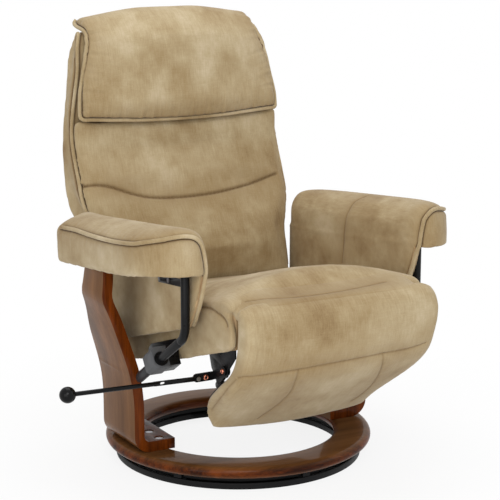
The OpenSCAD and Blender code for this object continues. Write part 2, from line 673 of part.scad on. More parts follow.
// Plates screwed to the rails' inner faces carry the shaft
module side_plate_shape() {
  polygon([[-245, 398], [-372, 418], [-372, 348], [-338, 311], [-318, 289], [-302, 275], [-294, 270], [-286, 272],
    [-279, 284], [-262, 301], [-251, 332], [-245, 345]]);
  disc(shaft, 16);
}
module side_plate() {
  slab(side_plate_x, rail_in) difference() {
    side_plate_shape();
    disc(shaft, shaft_r + fit);
  }
}
module side_plate_left() { color(black) side_plate(); }
module side_plate_right() { color(black) right_side() side_plate(); }
// Arms under the deck hold the footrest's hinge pins in front of the seat
module hinge_arms() {
  color(black) both() slab(arm_plate_x, arm_plate_x + plate_t) difference() {
    union() {
      disc(hinge, 6);
      bar([hinge, [-411, 450], [-402, 432]], 5);
      polygon([[-330, deck_top(-330) - deck_t - 0.1], [-402, deck_top(-402) - deck_t - 0.1], [-408, 432],
        [-400, 426], [-335, deck_top(-330) - deck_t - 16]]);
    }
    disc(hinge, hinge_r + fit);
  }
}
module hinge_pins() {
  color(steel) both() {
    rod(arm_plate_x - 1, ear_x + plate_t + 1, hinge_y, hinge_z, hinge_r);
    rod(rail_in - 9, rail_in + rail_t - 1, recline_y, recline_z, pivot_r);
  }
}
// A stub of the shaft on each side. The links swing past between the two.
module lever_shaft() {
  color(black) {
    rod(-crank_out, -crank_x, shaft_y, shaft_z, shaft_r);
    rod(crank_x, rail_in + 2, shaft_y, shaft_z, shaft_r);
  }
}
// Two cranks, joined by a cross rod whose ends are the pins of the links
module shaft_cranks() {
  color(black) both() slab(crank_x, crank_x + plate_t) difference() {
    union() {
      disc(shaft, 11);
      bar([shaft, crank_pin], 8);
    }
    disc(shaft, shaft_r + fit);
  }
  color(steel) {
    rod(-crank_x - 0.5, crank_x + 0.5, crank_pin[0], crank_pin[1], pin_r);
    rod(-link_x + 1, link_x - 1, crank_pin[0], crank_pin[1], pin_r + 2);
  }
}
module drive_link() {
  slab(link_x, link_x + plate_t) difference() {
    union() {
      disc(foot_pin, 9);
      disc(crank_pin, 9.5);
      bar([foot_pin, crank_pin], 6.5);
    }
    disc(foot_pin, pin_r + fit);
    disc(crank_pin, open_r);
  }
}
module drive_link_left() { color(black) drive_link(); }
module drive_link_right() { color(black) right_side() drive_link(); }
module footrest_brackets() {
  color(black) both() {
    slab(ear_x, ear_x + plate_t) difference() {
      union() {
        disc(hinge, 6);
        bar([hinge, [-412.5, 451]], 5);
        bar([[-412.5, 451], [-412.5, 411], foot_pin], 7);
        disc(foot_pin, 9);
      }
      disc(hinge, hinge_r + fit);
      disc(foot_pin, pin_r + fit);
    }
    // A tab on the rear of the footrest's board
    translate([ear_x + plate_t - 0.01, board_rear + 0.05, 415]) cube([14, 3, 29]);
    translate([ear_x, board_rear + 0.05, 415]) cube([plate_t, 4, 29]);
  }
}
module footrest_pins() {
  color(steel) both() rod(ear_x - 0.5, link_x + plate_t + 1, foot_pin[0], foot_pin[1], pin_r);
}

// Hand lever

crank_out = rail_in + soft + plate_t;
lever_z = shaft_z - 22;
lever_y = shaft_y + 48;
lever_pin_x = 258;
lever_pin_r = 3;
lever_rise = 1.6;
lever_t = 5;
// Length of the lever's flat part
lever_flat = 107;
// Length of the rod, which ends inside the ball
lever_stem = lever_l - ball_r + 6;
module lever_crank() {
  color(black) right_side() {
    slab(crank_out - plate_t, crank_out) difference() {
      union() {
        bar([shaft, [lever_y - 2, lever_z + 1]], 9.5);
        disc(shaft, 11);
      }
      disc(shaft, shaft_r + fit);
    }
    translate([crank_out - 0.01, lever_y - 2.5, lever_z - 9.5]) difference() {
      union() {
        cube([lever_pin_x - crank_out, 5, 19]);
        translate([lever_pin_x - crank_out, 5, 9.5]) rotate([90, 0, 0]) cylinder(h = 5, r = 9.5, $fn = small);
      }
      translate([lever_pin_x - crank_out, 6, 9.5]) rotate([90, 0, 0]) cylinder(h = 8, r = lever_pin_r + fit, $fn = small);
    }
    // A copper-coloured rivet joins the two plates of the crank
    translate([lever_pin_x - 21, lever_y - 2.4, lever_z]) rotate([90, 0, 0]) cylinder(h = 3, r = 6, $fn = small);
  }
}
module lever_pin() {
  color(steel) right_side() translate([lever_pin_x, lever_y + 3.4, lever_z]) rotate([90, 0, 0]) {
    cylinder(h = 14, r = lever_pin_r, $fn = small);
    translate([0, 0, 12]) cylinder(h = 2, r = 5, $fn = small);
  }
}
// Places a shape at the lever's pivot, its +X along the lever
module at_lever() {
  right_side() translate([lever_pin_x, lever_y - 3 - lever_t / 2, lever_z]) rotate([0, -lever_rise, 0]) children();
}
// A cylinder across the lever, at x along it
module across(x, r, h) { translate([x, h / 2, 0]) rotate([90, 0, 0]) cylinder(h = h, r = r, $fn = small); }
module lever_rod() {
  hole = lever_flat - 22;
  color(black) at_lever() difference() {
    union() {
      across(0, 7, lever_t);
      translate([0, -lever_t / 2, -5]) cube([lever_flat, lever_t, 10]);
      across(lever_flat, 5, lever_t);
      rod(lever_flat - 12, lever_stem, 0, 0, lever_r);
    }
    across(0, lever_pin_r + fit, lever_t + 2);
    // An oval hole through the flat of the lever
    for (x = [hole, hole + 6]) across(x, 3, lever_t + 2);
    translate([hole, -lever_t, -3]) cube([6, 2 * lever_t, 6]);
  }
}
module lever_ball() {
  color(black) at_lever() difference() {
    translate([lever_l, 0, 0]) rotate([0, 90, 0]) rotate_extrude($fn = 64) intersection() {
      circle(ball_r, $fn = 64);
      translate([0, -ball_r]) square([ball_r, 2 * ball_r]);
    }
    rod(0, lever_stem, 0, 0, lever_r + fit);
  }
}

// Footrest: a curved board with a thick pad in front of it

board_rear = -421;
foot_board_t = 9;
foot_board_gap = 0.9;
foot_side = [[-430, 470], [-430, 479], [-440, 486], [-456, 488], [-478, 474], [-490, 440], [-486, 400], [-472, 352],
  [-449, 318], [-412, 284], [-360, 243], [-300, 196], [-262, 163], [-247, 151], [-236, 164], [-240, 190],
  [-262, 222], [-288, 246], [-340, 282], [-385, 315], [-411, 343], [-426, 378], [-431, 415], [-431, 450]];
module footrest_board() {
  curve = closed_curve(foot_side, 4);
  out = normals(curve);
  span = [for (i = [16 * 4 : 23 * 4]) i];
  color(ply) slab(-rail_in - 1, rail_in + 1) polygon(concat(
    [for (i = span) curve[i] + foot_board_gap * out[i]],
    [for (j = [len(span) - 1 : -1 : 0]) let (i = span[j]) curve[i] + (foot_board_t + foot_board_gap) * out[i]]));
}
module footrest_pad() {
  color(cloth) difference() {
    cushion(foot_side, foot_hw, 15,
      function(n, t, p) foot_crown * dome(t) * max(0, n * [-0.75, -0.66])
        - channel(5, 9, p[1] - 345 - 20 * t * t) * max(0, -n[0]),
      function(p) 1 - foot_taper * smooth(290, 150, p[1]), tip = 2, cols = 10);
    hinge_notch();
  }
}

// Back: a board with hinge plates, a cushion in front and a padded shell behind

// Seam line where the cushion meets the rolled rim of the shell, and the board behind it
seam_line = [[166, 376], [184, 465], [210, 530], [247, 580], [277, 645], [305, 710], [318, 760], [322, 800],
  [322, 860], [320, 920], [328, 965], [344, 992]];
board_gap = 14;
back_board_t = 12;
back_board_hw = 208;
// The line moved back by d
function behind(d) = [for (p = open_curve(seam_line, 3)) [p[0] + d, p[1]]];
// A smooth curve that starts and ends at its first and last point
function open_curve(p, n) = let (k = len(p))
  concat([for (i = [0 : k - 2]) for (j = [0 : n - 1])
    blend4(p[max(0, i - 1)], p[i], p[i + 1], p[min(k - 1, i + 2)], j / n)], [p[k - 1]]);
function reverse(p) = [for (i = [len(p) - 1 : -1 : 0]) p[i]];
module back_panel() {
  color(ply) slab(-back_board_hw, back_board_hw)
    polygon(concat(behind(board_gap + back_board_t), reverse(behind(board_gap))));
}
module back_cushion() {
  front = [for (i = [1 : 5]) seam_line[i]];
  rear = [for (p = front) [p[0] + board_gap - 1.8, p[1]]];
  color(cloth) difference() {
    cushion(
      concat([[169, 376], [175, 377]], rear, [[329, 748], [328, 766], [318, 773], [308, 775], [304, 768], [306, 746]],
        reverse(front)),
      back_hw - 8, 15,
      function(n, t, p) back_crown * dome(t) * max(0, -n[0]) * smooth(395, 450, p[1]) * (1 - smooth(690, 785, p[1]))
        - channel(9, 14, p[1] - 595 - 45 * t * t) * max(0, -n[0]),
      function(p) back_width(p[1]), tip = 0.5, cols = 10);
    // Slots for the hinge plates
    both() slab(back_board_hw, back_board_hw + 4.6) polygon([[150, 340], [190, 340], [203, 430], [160, 430]]);
  }
}
// Share of the half width at a height: narrow between the armrests, full above them
function back_width(z) = back_low_hw / back_hw
  + (1 - back_low_hw / back_hw) * smooth(480, 600, z) - 0.08 * smooth(720, 960, z) - 0.055 * smooth(950, 1010, z);
module back_shell() {
  rear = [[322, 440], [344, 540], [366, 620], [378, 720], [382, 830], [386, 930], [382, 985]];
  front = [for (p = seam_line) [p[0] + board_gap, p[1]]];
  color(cloth) difference() {
    cushion(concat([[204, 354], [286, 354]], rear, [[367, 1006]], reverse(front)), back_hw, 18,
      function(n, t, p) 0, function(p) back_width(p[1]), tip = 0.5);
    slab(-back_board_hw - 0.3, back_board_hw + 0.3) polygon(concat(
      behind(board_gap + back_board_t + 0.3), reverse(behind(-20))));
    // Room for the hinge plates
    both() slab(back_board_hw - 1, back_board_hw + 5.5) polygon([[100, 300], [246, 300], [246, 506], [100, 506]]);
  }
}
// Plates at the board's sides turn about the recline pins
module back_hinges() {
  color(black) both() slab(back_board_hw + 0.3, back_board_hw + 4.3) difference() {
    union() {
      disc([recline_y, recline_z], 14);
      bar([[recline_y, recline_z], [207, 430], [221, 486]], 11);
    }
    disc([recline_y, recline_z], pivot_r + fit);
  }
}

// Headrest: a hinged plate under a thick pad with a rolled top

head_hinge = [327, 796];
head_plate = [319.5, 325.5];
leaf_x = 110;
head_side = [[300, 790], [316, 793], [319, 830], [319, 880], [318, 930], [325, 968], [341, 1000], [358, 1011],
  [385, 1014], [412, 1017], [424, 1026], [422, 1040], [400, 1046], [370, 1042], [345, 1026], [328, 1000],
  [312, 955], [303, 905], [296, 860], [288, 825], [291, 800]];
module headrest_pad() {
  color(cloth) cushion(head_side, head_hw, 13,
    function(n, t, p) head_crown * dome(t) * max(0, n * [-0.95, 0.3]) * (1 - 0.6 * smooth(980, 1030, p[1])),
    function(p) (1 - 0.18 * smooth(800, 1060, p[1])) * (0.93 + 0.07 * smooth(262, 305, p[0])));
}
module headrest_plate() {
  color(ply) translate([-200, head_plate[0], 808]) cube([400, head_plate[1] - head_plate[0], 128]);
}
module headrest_hinge() {
  color(black) both() slab(leaf_x, leaf_x + 3) difference() {
    union() {
      disc(head_hinge, 6);
      polygon([[head_hinge[0] - 2, head_hinge[1]], [head_hinge[0] + 6, head_hinge[1]], [head_hinge[0] + 6, 850],
        [head_plate[1] + 0.05, 850], [head_plate[1] + 0.05, 806]]);
    }
    disc(head_hinge, hinge_r + fit);
  }
}
module headrest_ears() {
  color(black) both() slab(leaf_x + 3.5, leaf_x + 6.5) {
    disc(head_hinge, 6);
    translate([head_hinge[0], head_hinge[1] - 5])
      square([seam_line[7][0] + board_gap - 0.9 - head_hinge[0], 10]);
  }
  color(steel) both() rod(leaf_x - 1, leaf_x + 4, head_hinge[0], head_hinge[1], hinge_r);
}

floor_ring();
ring_pads();
turn_ring();
base_ring();
leg_right();
leg_left();
leg_bolts();
arm_tube_right();
arm_tube_left();
rail_sleeve_right();
rail_sleeve_left();
tube_bracket_right();
tube_bracket_left();
arm_frame_right();
arm_frame_left();
arm_panel_right();
arm_panel_left();
arm_pad_right();
arm_pad_left();
arm_screws();
seat_frame();
seat_springs();
seat_cushion();
seat_side_right();
seat_side_left();
dust_cover();
glide_block_right();
glide_block_left();
glide_bush_right();
glide_bush_left();
glide_bracket_right();
glide_bracket_left();
side_plate_right();
side_plate_left();
hinge_arms();
hinge_pins();
lever_shaft();
shaft_cranks();
lever_crank();
lever_rod();
lever_ball();
lever_pin();
drive_link_right();
drive_link_left();
footrest_board();
footrest_pad();
footrest_brackets();
footrest_pins();
back_panel();
back_cushion();
back_shell();
back_hinges();
headrest_ears();
headrest_pad();
headrest_plate();
headrest_hinge();
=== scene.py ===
# %% [markdown]
# # A swivel recliner in soft suede
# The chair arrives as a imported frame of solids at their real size. This lesson dresses it:
# the solids of cloth and foam become sewn covers over padding, the wood gets grain and
# lacquer, and the metal gets its paint. Nothing is moved, so every piece still turns,
# tilts and folds with the part of the chair that carries it.

# %% Frame
import json
import math

import bmesh
import bpy
import numpy as np
from mathutils import Matrix, Vector
from mathutils.bvhtree import BVHTree
from mathutils.kdtree import KDTree


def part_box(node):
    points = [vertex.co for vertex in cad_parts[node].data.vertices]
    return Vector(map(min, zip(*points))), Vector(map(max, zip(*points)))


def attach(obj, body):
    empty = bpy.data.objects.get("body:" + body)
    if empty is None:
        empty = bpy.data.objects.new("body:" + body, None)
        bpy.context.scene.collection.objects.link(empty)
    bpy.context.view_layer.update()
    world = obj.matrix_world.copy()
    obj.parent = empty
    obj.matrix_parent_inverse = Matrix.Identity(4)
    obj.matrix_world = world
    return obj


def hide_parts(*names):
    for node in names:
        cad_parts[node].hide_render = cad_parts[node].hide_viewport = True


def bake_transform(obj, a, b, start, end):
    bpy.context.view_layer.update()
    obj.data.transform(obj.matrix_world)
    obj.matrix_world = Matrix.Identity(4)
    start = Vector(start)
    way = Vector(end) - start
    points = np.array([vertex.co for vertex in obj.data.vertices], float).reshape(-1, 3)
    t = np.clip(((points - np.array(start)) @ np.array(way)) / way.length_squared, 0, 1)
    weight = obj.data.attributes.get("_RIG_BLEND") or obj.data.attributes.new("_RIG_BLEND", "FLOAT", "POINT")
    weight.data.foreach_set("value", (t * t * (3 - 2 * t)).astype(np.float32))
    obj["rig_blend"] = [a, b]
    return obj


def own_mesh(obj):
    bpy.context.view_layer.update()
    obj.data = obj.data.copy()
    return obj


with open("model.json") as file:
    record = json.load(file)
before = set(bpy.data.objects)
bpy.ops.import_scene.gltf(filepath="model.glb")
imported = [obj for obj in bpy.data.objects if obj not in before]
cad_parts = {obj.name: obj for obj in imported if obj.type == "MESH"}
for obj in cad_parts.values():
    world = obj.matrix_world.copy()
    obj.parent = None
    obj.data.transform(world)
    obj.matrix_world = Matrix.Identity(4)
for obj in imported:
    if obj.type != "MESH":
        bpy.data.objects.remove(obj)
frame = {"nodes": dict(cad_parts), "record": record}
bpy.context.scene.view_settings.view_transform = "Standard"
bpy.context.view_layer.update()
nodes = frame["nodes"]
BODY_OF = {node: body for body, members in frame["record"]["behaviour"]["bodies"].items() for node in members}
SIDES = {"right": -1, "left": 1}

# %% [markdown]
# The camera is a real one, so it is described as one: where it stands, what it looks at
# and how long its lens is. Its picture is shifted a little, because the chair stands to the
# left of the middle. The focal length was measured in pixels of a square picture, and
# Blender wants millimetres on a sensor, so one is worked out from the other.

# %% Camera
PICTURE = 500
FOCAL = 1671.6
OPTICAL_CENTRE = (238.2, 259.84)
SENSOR = 36.0
EYE = Vector((-1.908, -3.440, 1.343))
AIM = Vector((0.0, 0.0, 0.474))

lens = bpy.data.cameras.new("camera")
lens.sensor_width = SENSOR
lens.lens = SENSOR * FOCAL / PICTURE
lens.shift_x = (PICTURE / 2 - OPTICAL_CENTRE[0]) / PICTURE
lens.shift_y = (OPTICAL_CENTRE[1] - PICTURE / 2) / PICTURE
camera = bpy.data.objects.new("camera", lens)
camera.location = EYE
camera.rotation_mode = "QUATERNION"
camera.rotation_quaternion = (AIM - EYE).to_track_quat("-Z", "Y")
bpy.context.scene.collection.objects.link(camera)
bpy.context.scene.camera = camera
print("lens:", round(lens.lens, 1), "mm")


# %% [markdown]
# Materials are sums and products of patterns. Written as nodes and links they are hard to
# read, so one small class stands for a socket and knows how to add, subtract and multiply.
# A recipe holds the nodes of one material, and its node method makes any node: first its
# settings, then what goes into its sockets.

# %% Shader expressions
class Flow:
    """A number that flows out of a socket. Arithmetic on it adds Math nodes."""

    def __init__(self, recipe, socket):
        self.recipe, self.socket = recipe, socket

    def math(self, operation, *values):
        return self.recipe.node("Math", {"operation": operation}, dict(enumerate((self, *values))))

    def __add__(self, other):
        return self.math("ADD", other)

    def __sub__(self, other):
        return self.math("SUBTRACT", other)

    def __rsub__(self, other):
        return self.recipe.node("Math", {"operation": "SUBTRACT"}, {0: other, 1: self})

    def __mul__(self, other):
        return self.math("MULTIPLY", other)

    __radd__, __rmul__ = __add__, __mul__

    def clamp(self, low, high):
        """0 at low, 1 at high, and straight in between."""
        settings = {"clamp": True}
        return self.recipe.node("MapRange", settings, {"Value": self, "From Min": low, "From Max": high})


class Recipe:
    """The nodes of one material."""

    def __init__(self, name):
        self.material = bpy.data.materials.new(name)
        self.material.use_nodes = True
        self.tree = self.material.node_tree
        self.tree.nodes.clear()
        self.place = self.node("TexCoord", out="Object")

    def node(self, kind, settings=None, inputs=None, out=0):
        made = self.tree.nodes.new("ShaderNode" + kind)
        for name, value in (settings or {}).items():
            if name == "stops":
                self.set_stops(made.color_ramp, value)
            else:
                setattr(made, name, value)
        for name, value in (inputs or {}).items():
            if isinstance(value, Flow):
                self.tree.links.new(value.socket, made.inputs[name])
            else:
                made.inputs[name].default_value = value
        return Flow(self, made.outputs[out])

    @staticmethod
    def set_stops(ramp, stops):
        while len(ramp.elements) < len(stops):
            ramp.elements.new(0.5)
        for element, (position, colour) in zip(ramp.elements, stops):
            element.position = position
            element.color = (*colour, 1)

    def noise(self, scale, detail=2.0, roughness=0.5, stretch=(1, 1, 1), at=(0, 0, 0)):
        where = self.node("Mapping", {}, {"Vector": self.place, "Scale": stretch, "Location": at})
        inputs = {"Vector": where, "Scale": scale, "Detail": detail, "Roughness": roughness}
        return self.node("TexNoise", {}, inputs)

    def attribute(self, name):
        return self.node("Attribute", {"attribute_name": name}, out="Fac")

    def ramp(self, factor, *stops):
        return self.node("ValToRGB", {"stops": stops}, {"Fac": factor})

    def mix(self, a, b, factor):
        a, b = (c if isinstance(c, Flow) else (*c, 1) for c in (a, b))
        return self.node("Mix", {"data_type": "RGBA"}, {0: factor, 6: a, 7: b}, out=2)

    def bump(self, height, distance, strength=1.0):
        return self.node("Bump", {}, {"Height": height, "Distance": distance, "Strength": strength}, out="Normal")

    def finish(self, shader):
        output = self.tree.nodes.new("ShaderNodeOutputMaterial")
        self.tree.links.new(shader.socket, output.inputs["Surface"])
        return self.material

    def surface(self, **values):
        """A Principled surface. The names are its sockets', with _ for a space."""
        sockets = {name.replace("_", " "): value for name, value in values.items()}
        if isinstance(sockets.get("Base Color"), tuple):
            sockets["Base Color"] = (*sockets["Base Color"], 1)
        return self.finish(self.node("BsdfPrincipled", {}, sockets))


def rgb(red, green, blue):
    """A colour as a screen shows it, 0 to 255, turned into light."""
    return tuple((c / 255 / 12.92) if c < 10 else ((c / 255 + 0.055) / 1.055) ** 2.4 for c in (red, green, blue))


# %% [markdown]
# The cover is a faux suede: a short nap that turns lighter or darker as it is stroked. Up
# close it shows fine threads, from a step away soft clouds of brown, tan and pale sand.
# Five noises of very different sizes give that: two for the clouds, two stretched into crossing threads, and one
# for the grain of the nap. Where a cover is sewn, shade is painted into its colour, so each cover carries two
# attributes that this recipe reads: the first, seam, for the painted shade in the crease itself, and the second
# for a wider strip of painted shade beside it.

# %% Suede
BROWN, TAN, SAND, PALE = rgb(136, 110, 74), rgb(163, 141, 104), rgb(181, 162, 127), rgb(203, 187, 156)
# Colours of painted shade: one for the crease of a seam, one for the strip beside it.
CREASE_SHADE, SEAM_SHADE = rgb(86, 60, 32), rgb(140, 114, 76)
THREADS, CROSS_THREADS = (1.0, 0.07, 0.07), (0.07, 1.0, 1.0)


def suede():
    r = Recipe("suede")
    clouds = r.noise(5.0, 3.0, 0.55)
    strokes = r.noise(16.0, 5.0, 0.62, stretch=(1.0, 0.8, 0.75), at=(3, 1, 7))
    threads = r.noise(460.0, 2.0, 0.6, stretch=THREADS)
    crossing = r.noise(460.0, 2.0, 0.6, stretch=CROSS_THREADS)
    grain = r.noise(1000.0, 2.0, 0.7)
    seam, near_seam = r.attribute("seam"), r.attribute("near_seam")
    nap = clouds * 0.37 + strokes * 0.31 + threads * 0.12 + crossing * 0.06 + grain * 0.14
    colour = r.ramp(nap, (0.36, BROWN), (0.46, TAN), (0.54, SAND), (0.64, PALE))
    # Painted shade on a strip beside every seam, broken up by the strokes, then painted shade in the crease.
    colour = r.mix(colour, SEAM_SHADE, near_seam * strokes.clamp(0.3, 0.6) * 0.75)
    colour = r.mix(colour, CREASE_SHADE, seam)
    relief = r.bump(threads * 0.5 + crossing * 0.3 + grain * 0.4 + strokes * 0.25, 0.0008, 0.5)
    return r.surface(Base_Color=colour, Roughness=0.95 - nap * 0.12, Normal=relief, Sheen_Weight=0.18,
                     Sheen_Roughness=0.45, Specular_IOR_Level=0.12)


# %% [markdown]
# The legs and the ring are bent and turned from laminated wood, stained a red walnut and sprayed with clear gloss
# lacquer. The lacquer is the coat of the shader: the grain stays under it, and the coat reflects the room. The
# edges are painted darker and redder than the broad faces, as painted shade. Grain is noise that is stretched
# along the wood, and thin darker pores run the same way.

# %% Lacquered wood
WALNUT, CHERRY, EMBER = rgb(92, 60, 32), rgb(108, 72, 40), rgb(124, 84, 48)
# Colours of painted shade for the wood's edges.
EDGE_SHADE_DARK, EDGE_SHADE_RED = rgb(42, 15, 4), rgb(116, 54, 12)


def lacquered(name, along):
    """Broad faces keep the wood's brown. The edges are painted darker and redder, as painted shade."""
    r = Recipe(name)
    stretch = tuple(0.07 if a == along else 1.0 for a in "xyz")
    figure = r.noise(26.0, 4.0, 0.55, stretch=stretch)
    pores = r.noise(260.0, 2.0, 0.6, stretch=stretch)
    grain = figure * 0.75 + pores * 0.25
    broad = r.ramp(grain, (0.36, WALNUT), (0.5, CHERRY), (0.66, EMBER))
    narrow = r.ramp(grain, (0.38, EDGE_SHADE_DARK), (0.62, EDGE_SHADE_RED))
    # Painted shade: the edges take the darker, redder ramp.
    colour = r.mix(broad, narrow, r.attribute("stain"))
    relief = r.bump(pores, 0.0004, 0.15)
    return r.surface(Base_Color=colour, Roughness=0.45 - grain * 0.15, Normal=relief, Coat_Weight=0.3,
                     Coat_Roughness=0.08, Coat_IOR=1.33, Specular_IOR_Level=0.02)


# %% [markdown]
# The metal is painted or bare. Black powder paint has a fine orange peel, so its gloss
# breaks up; the glide blocks are grey moulded plastic with a duller, finer grain; the ball
# on the lever is polished; and the fasteners are zinc plated, with copper coloured rivets.

# %% Metal and plastic
def painted(name, colour, roughness, peel=0.3, specks=900.0):
    r = Recipe(name)
    skin = r.noise(specks, 2.0, 0.5)
    wear = r.noise(24.0, 4.0, 0.6)
    shade = r.mix(colour, tuple(min(1.0, c * 1.6 + 0.003) for c in colour), wear.clamp(0.5, 0.75) * 0.5)
    return r.surface(Base_Color=shade, Roughness=wear * 0.2 + (roughness - 0.1),
                     Normal=r.bump(skin, 0.0003, peel), Specular_IOR_Level=0.15)


def plated(name, colour):
    r = Recipe(name)
    spin = r.noise(60.0, 3.0, 0.6)
    return r.surface(Base_Color=colour, Metallic=1.0, Roughness=spin * 0.25 + 0.18,
                     Normal=r.bump(r.noise(800.0), 0.0002, 0.2))


def plywood():
    r = Recipe("plywood")
    plies = r.noise(90.0, 2.0, 0.5, stretch=(1.0, 0.1, 0.1))
    colour = r.ramp(plies, (0.35, rgb(150, 118, 80)), (0.65, rgb(206, 178, 136)))
    return r.surface(Base_Color=colour, Roughness=plies * 0.2 + 0.6, Normal=r.bump(plies, 0.0004, 0.3))


def black_cloth():
    r = Recipe("black_cloth")
    weave = r.noise(600.0, 2.0, 0.5)
    colour = r.ramp(weave, (0.4, rgb(22, 22, 23)), (0.6, rgb(48, 47, 46)))
    return r.surface(Base_Color=colour, Roughness=weave * 0.1 + 0.85, Normal=r.bump(weave, 0.0004, 0.6))


SUEDE = suede()
WOOD_UP = lacquered("lacquered_leg", "z")
WOOD_RING = lacquered("lacquered_ring", "x")
BLACK_STEEL = painted("black_steel", rgb(17, 17, 18), 0.30)
RING_STEEL = painted("ring_steel", rgb(15, 15, 16), 0.5)
GREY_PLASTIC = painted("grey_plastic", rgb(84, 85, 87), 0.5, 0.45, 1400.0)
GREY_TUBE = painted("black_plastic", rgb(52, 52, 54), 0.4, 0.3)
BLACK_GLOSS = painted("black_gloss", rgb(12, 12, 13), 0.16, 0.05)
ZINC = plated("zinc", rgb(168, 168, 172))
COPPER = plated("copper", rgb(214, 138, 112))
THREAD = painted("thread", rgb(146, 122, 86), 0.8)
PLYWOOD = plywood()
BLACK_CLOTH = black_cloth()
print("materials:", len(bpy.data.materials))


# %% [markdown]
# Small tools for meshes. A node of the frame is made of loose triangles, so a copy is
# merged before it is worked on. Everything that modifiers do is baked into a plain mesh at
# once, because a finished piece should carry no live simulation.

# %% Mesh tools
def add_object(name, mesh, material=None):
    piece = bpy.data.objects.new(name, mesh)
    bpy.context.scene.collection.objects.link(piece)
    if material:
        mesh.materials.clear()
        mesh.materials.append(material)
    return piece


def edit(mesh, work):
    bm = bmesh.new()
    bm.from_mesh(mesh)
    work(bm)
    bm.to_mesh(mesh)
    bm.free()


def merged_copy(node, name, material):
    mesh = nodes[node].data.copy()
    mesh.name = name
    mesh.materials.clear()
    edit(mesh, lambda bm: bmesh.ops.remove_doubles(bm, verts=bm.verts, dist=2e-6))
    return add_object(name, mesh, material)


def bake(piece):
    """Puts the result of a piece's modifiers into its own mesh."""
    view = bpy.context.evaluated_depsgraph_get()
    mesh = bpy.data.meshes.new_from_object(piece.evaluated_get(view))
    piece.modifiers.clear()
    old, piece.data = piece.data, mesh
    mesh.name = old.name
    bpy.data.meshes.remove(old)
    return piece


def modified(piece, kind, **settings):
    modifier = piece.modifiers.new(kind.lower(), kind)
    for name, value in settings.items():
        setattr(modifier, name, value)
    return bake(piece)


def points_of(piece, what="co"):
    flat = np.zeros(len(piece.data.vertices) * 3, np.float32)
    piece.data.vertices.foreach_get(what, flat)
    return flat.reshape(-1, 3).astype(float)


def move_points(piece, points):
    piece.data.vertices.foreach_set("co", points.astype(np.float32).ravel())
    piece.data.update()


def soften(piece):
    piece.data.polygons.foreach_set("use_smooth", [True] * len(piece.data.polygons))
    piece.data.update()
    return piece


# %% [markdown]
# Rigid pieces keep the frame's shape and only lose their knife edges: flat faces are
# joined again, a bevel rounds each corner by the little that paint or sanding would, and
# the shading is smooth except across the corners that stay. The legs are the exception:
# they are bent wood, so their bends are drawn out longer before the bevel.

# %% Rigid pieces
FLAT, CORNER, CREASED = math.radians(1.0), math.radians(35), math.radians(32)


def polished(node, material, edge=0.0008, rounds=2, shape=None):
    piece = merged_copy(node, node + "_finish", material)
    edit(piece.data, lambda bm: bmesh.ops.dissolve_limit(bm, angle_limit=FLAT, verts=bm.verts, edges=bm.edges))
    if shape:
        edit(piece.data, shape)
    modified(piece, "BEVEL", width=edge, segments=rounds, limit_method="ANGLE", angle_limit=CORNER,
             harden_normals=False)
    soften(piece)
    piece.data.set_sharp_from_angle(angle=CREASED)
    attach(piece, BODY_OF[node])
    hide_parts(node)
    return piece


def both_sides(name):
    return [f"{name}_{side}" for side in SIDES]


WOOD_EDGE = 0.0035


def mark_edge_shade(piece, axis):
    """Marks the faces that look across an axis as edges of the wood, from 0 to 1, where the lacquered wood gets
    its painted shade.
    """
    mark = piece.data.attributes.new("stain", "FLOAT", "FACE")
    mark.data.foreach_set("value", [1 - min(1.0, abs(f.normal[axis])) ** 2 for f in piece.data.polygons])


BEND_FROM, BEND_TO, BEND_STEP, BEND_REACH = 0.130, 0.500, 0.010, 0.055
LEG_FRONT, LEG_DEPTH = -0.082, 0.140
HOLLOW = ((0.33, 0.0), (0.36, 0.004), (0.38, 0.008), (0.40, 0.011), (0.42, 0.014), (0.44, 0.015), (0.46, 0.012),
          (0.48, 0.006), (0.50, 0.0))


def softer_bends(bm):
    """Cuts a leg into slices and shifts each, so that its two bends become longer and gentler.
    The back edge is drawn forward a little below the armrest."""
    heights = np.arange(BEND_FROM, BEND_TO, BEND_STEP)
    for z in heights:
        everything = bm.verts[:] + bm.edges[:] + bm.faces[:]
        bmesh.ops.bisect_plane(bm, geom=everything, plane_co=(0, 0, z), plane_no=(0, 0, 1))
    outline = np.array([max(abs(v.co.x) for v in bm.verts if abs(v.co.z - z) < 1e-4) for z in heights])
    window = np.ones(2 * round(BEND_REACH / BEND_STEP) + 1)
    ends = np.pad(outline, len(window) // 2, mode="edge")
    shift = np.convolve(ends, window / len(window), "valid") - outline
    levels, hollow = zip(*HOLLOW)
    for v in bm.verts:
        v.co.x += math.copysign(float(np.interp(v.co.z, heights, shift)), v.co.x)
        v.co.y -= float(np.interp(v.co.z, levels, hollow)) * min(1.0, (v.co.y - LEG_FRONT) / LEG_DEPTH) ** 2


for node in both_sides("leg"):
    mark_edge_shade(polished(node, WOOD_UP, WOOD_EDGE, 4, softer_bends), 0)
for name in ("arm_tube", "tube_bracket", "glide_bracket", "drive_link", "side_plate"):
    for node in both_sides(name):
        polished(node, BLACK_STEEL)
for node in ("lever_crank", "shaft_cranks", "footrest_brackets", "hinge_arms", "back_hinges"):
    polished(node, BLACK_STEEL)
for node in both_sides("glide_block"):
    polished(node, GREY_PLASTIC, 0.0015, 3)
for node in both_sides("rail_sleeve"):
    polished(node, GREY_TUBE)
for node in ("floor_ring", "turn_ring"):
    polished(node, RING_STEEL, 0.0006)
for node in ("lever_rod", "lever_ball"):
    polished(node, BLACK_GLOSS, 0.0006)

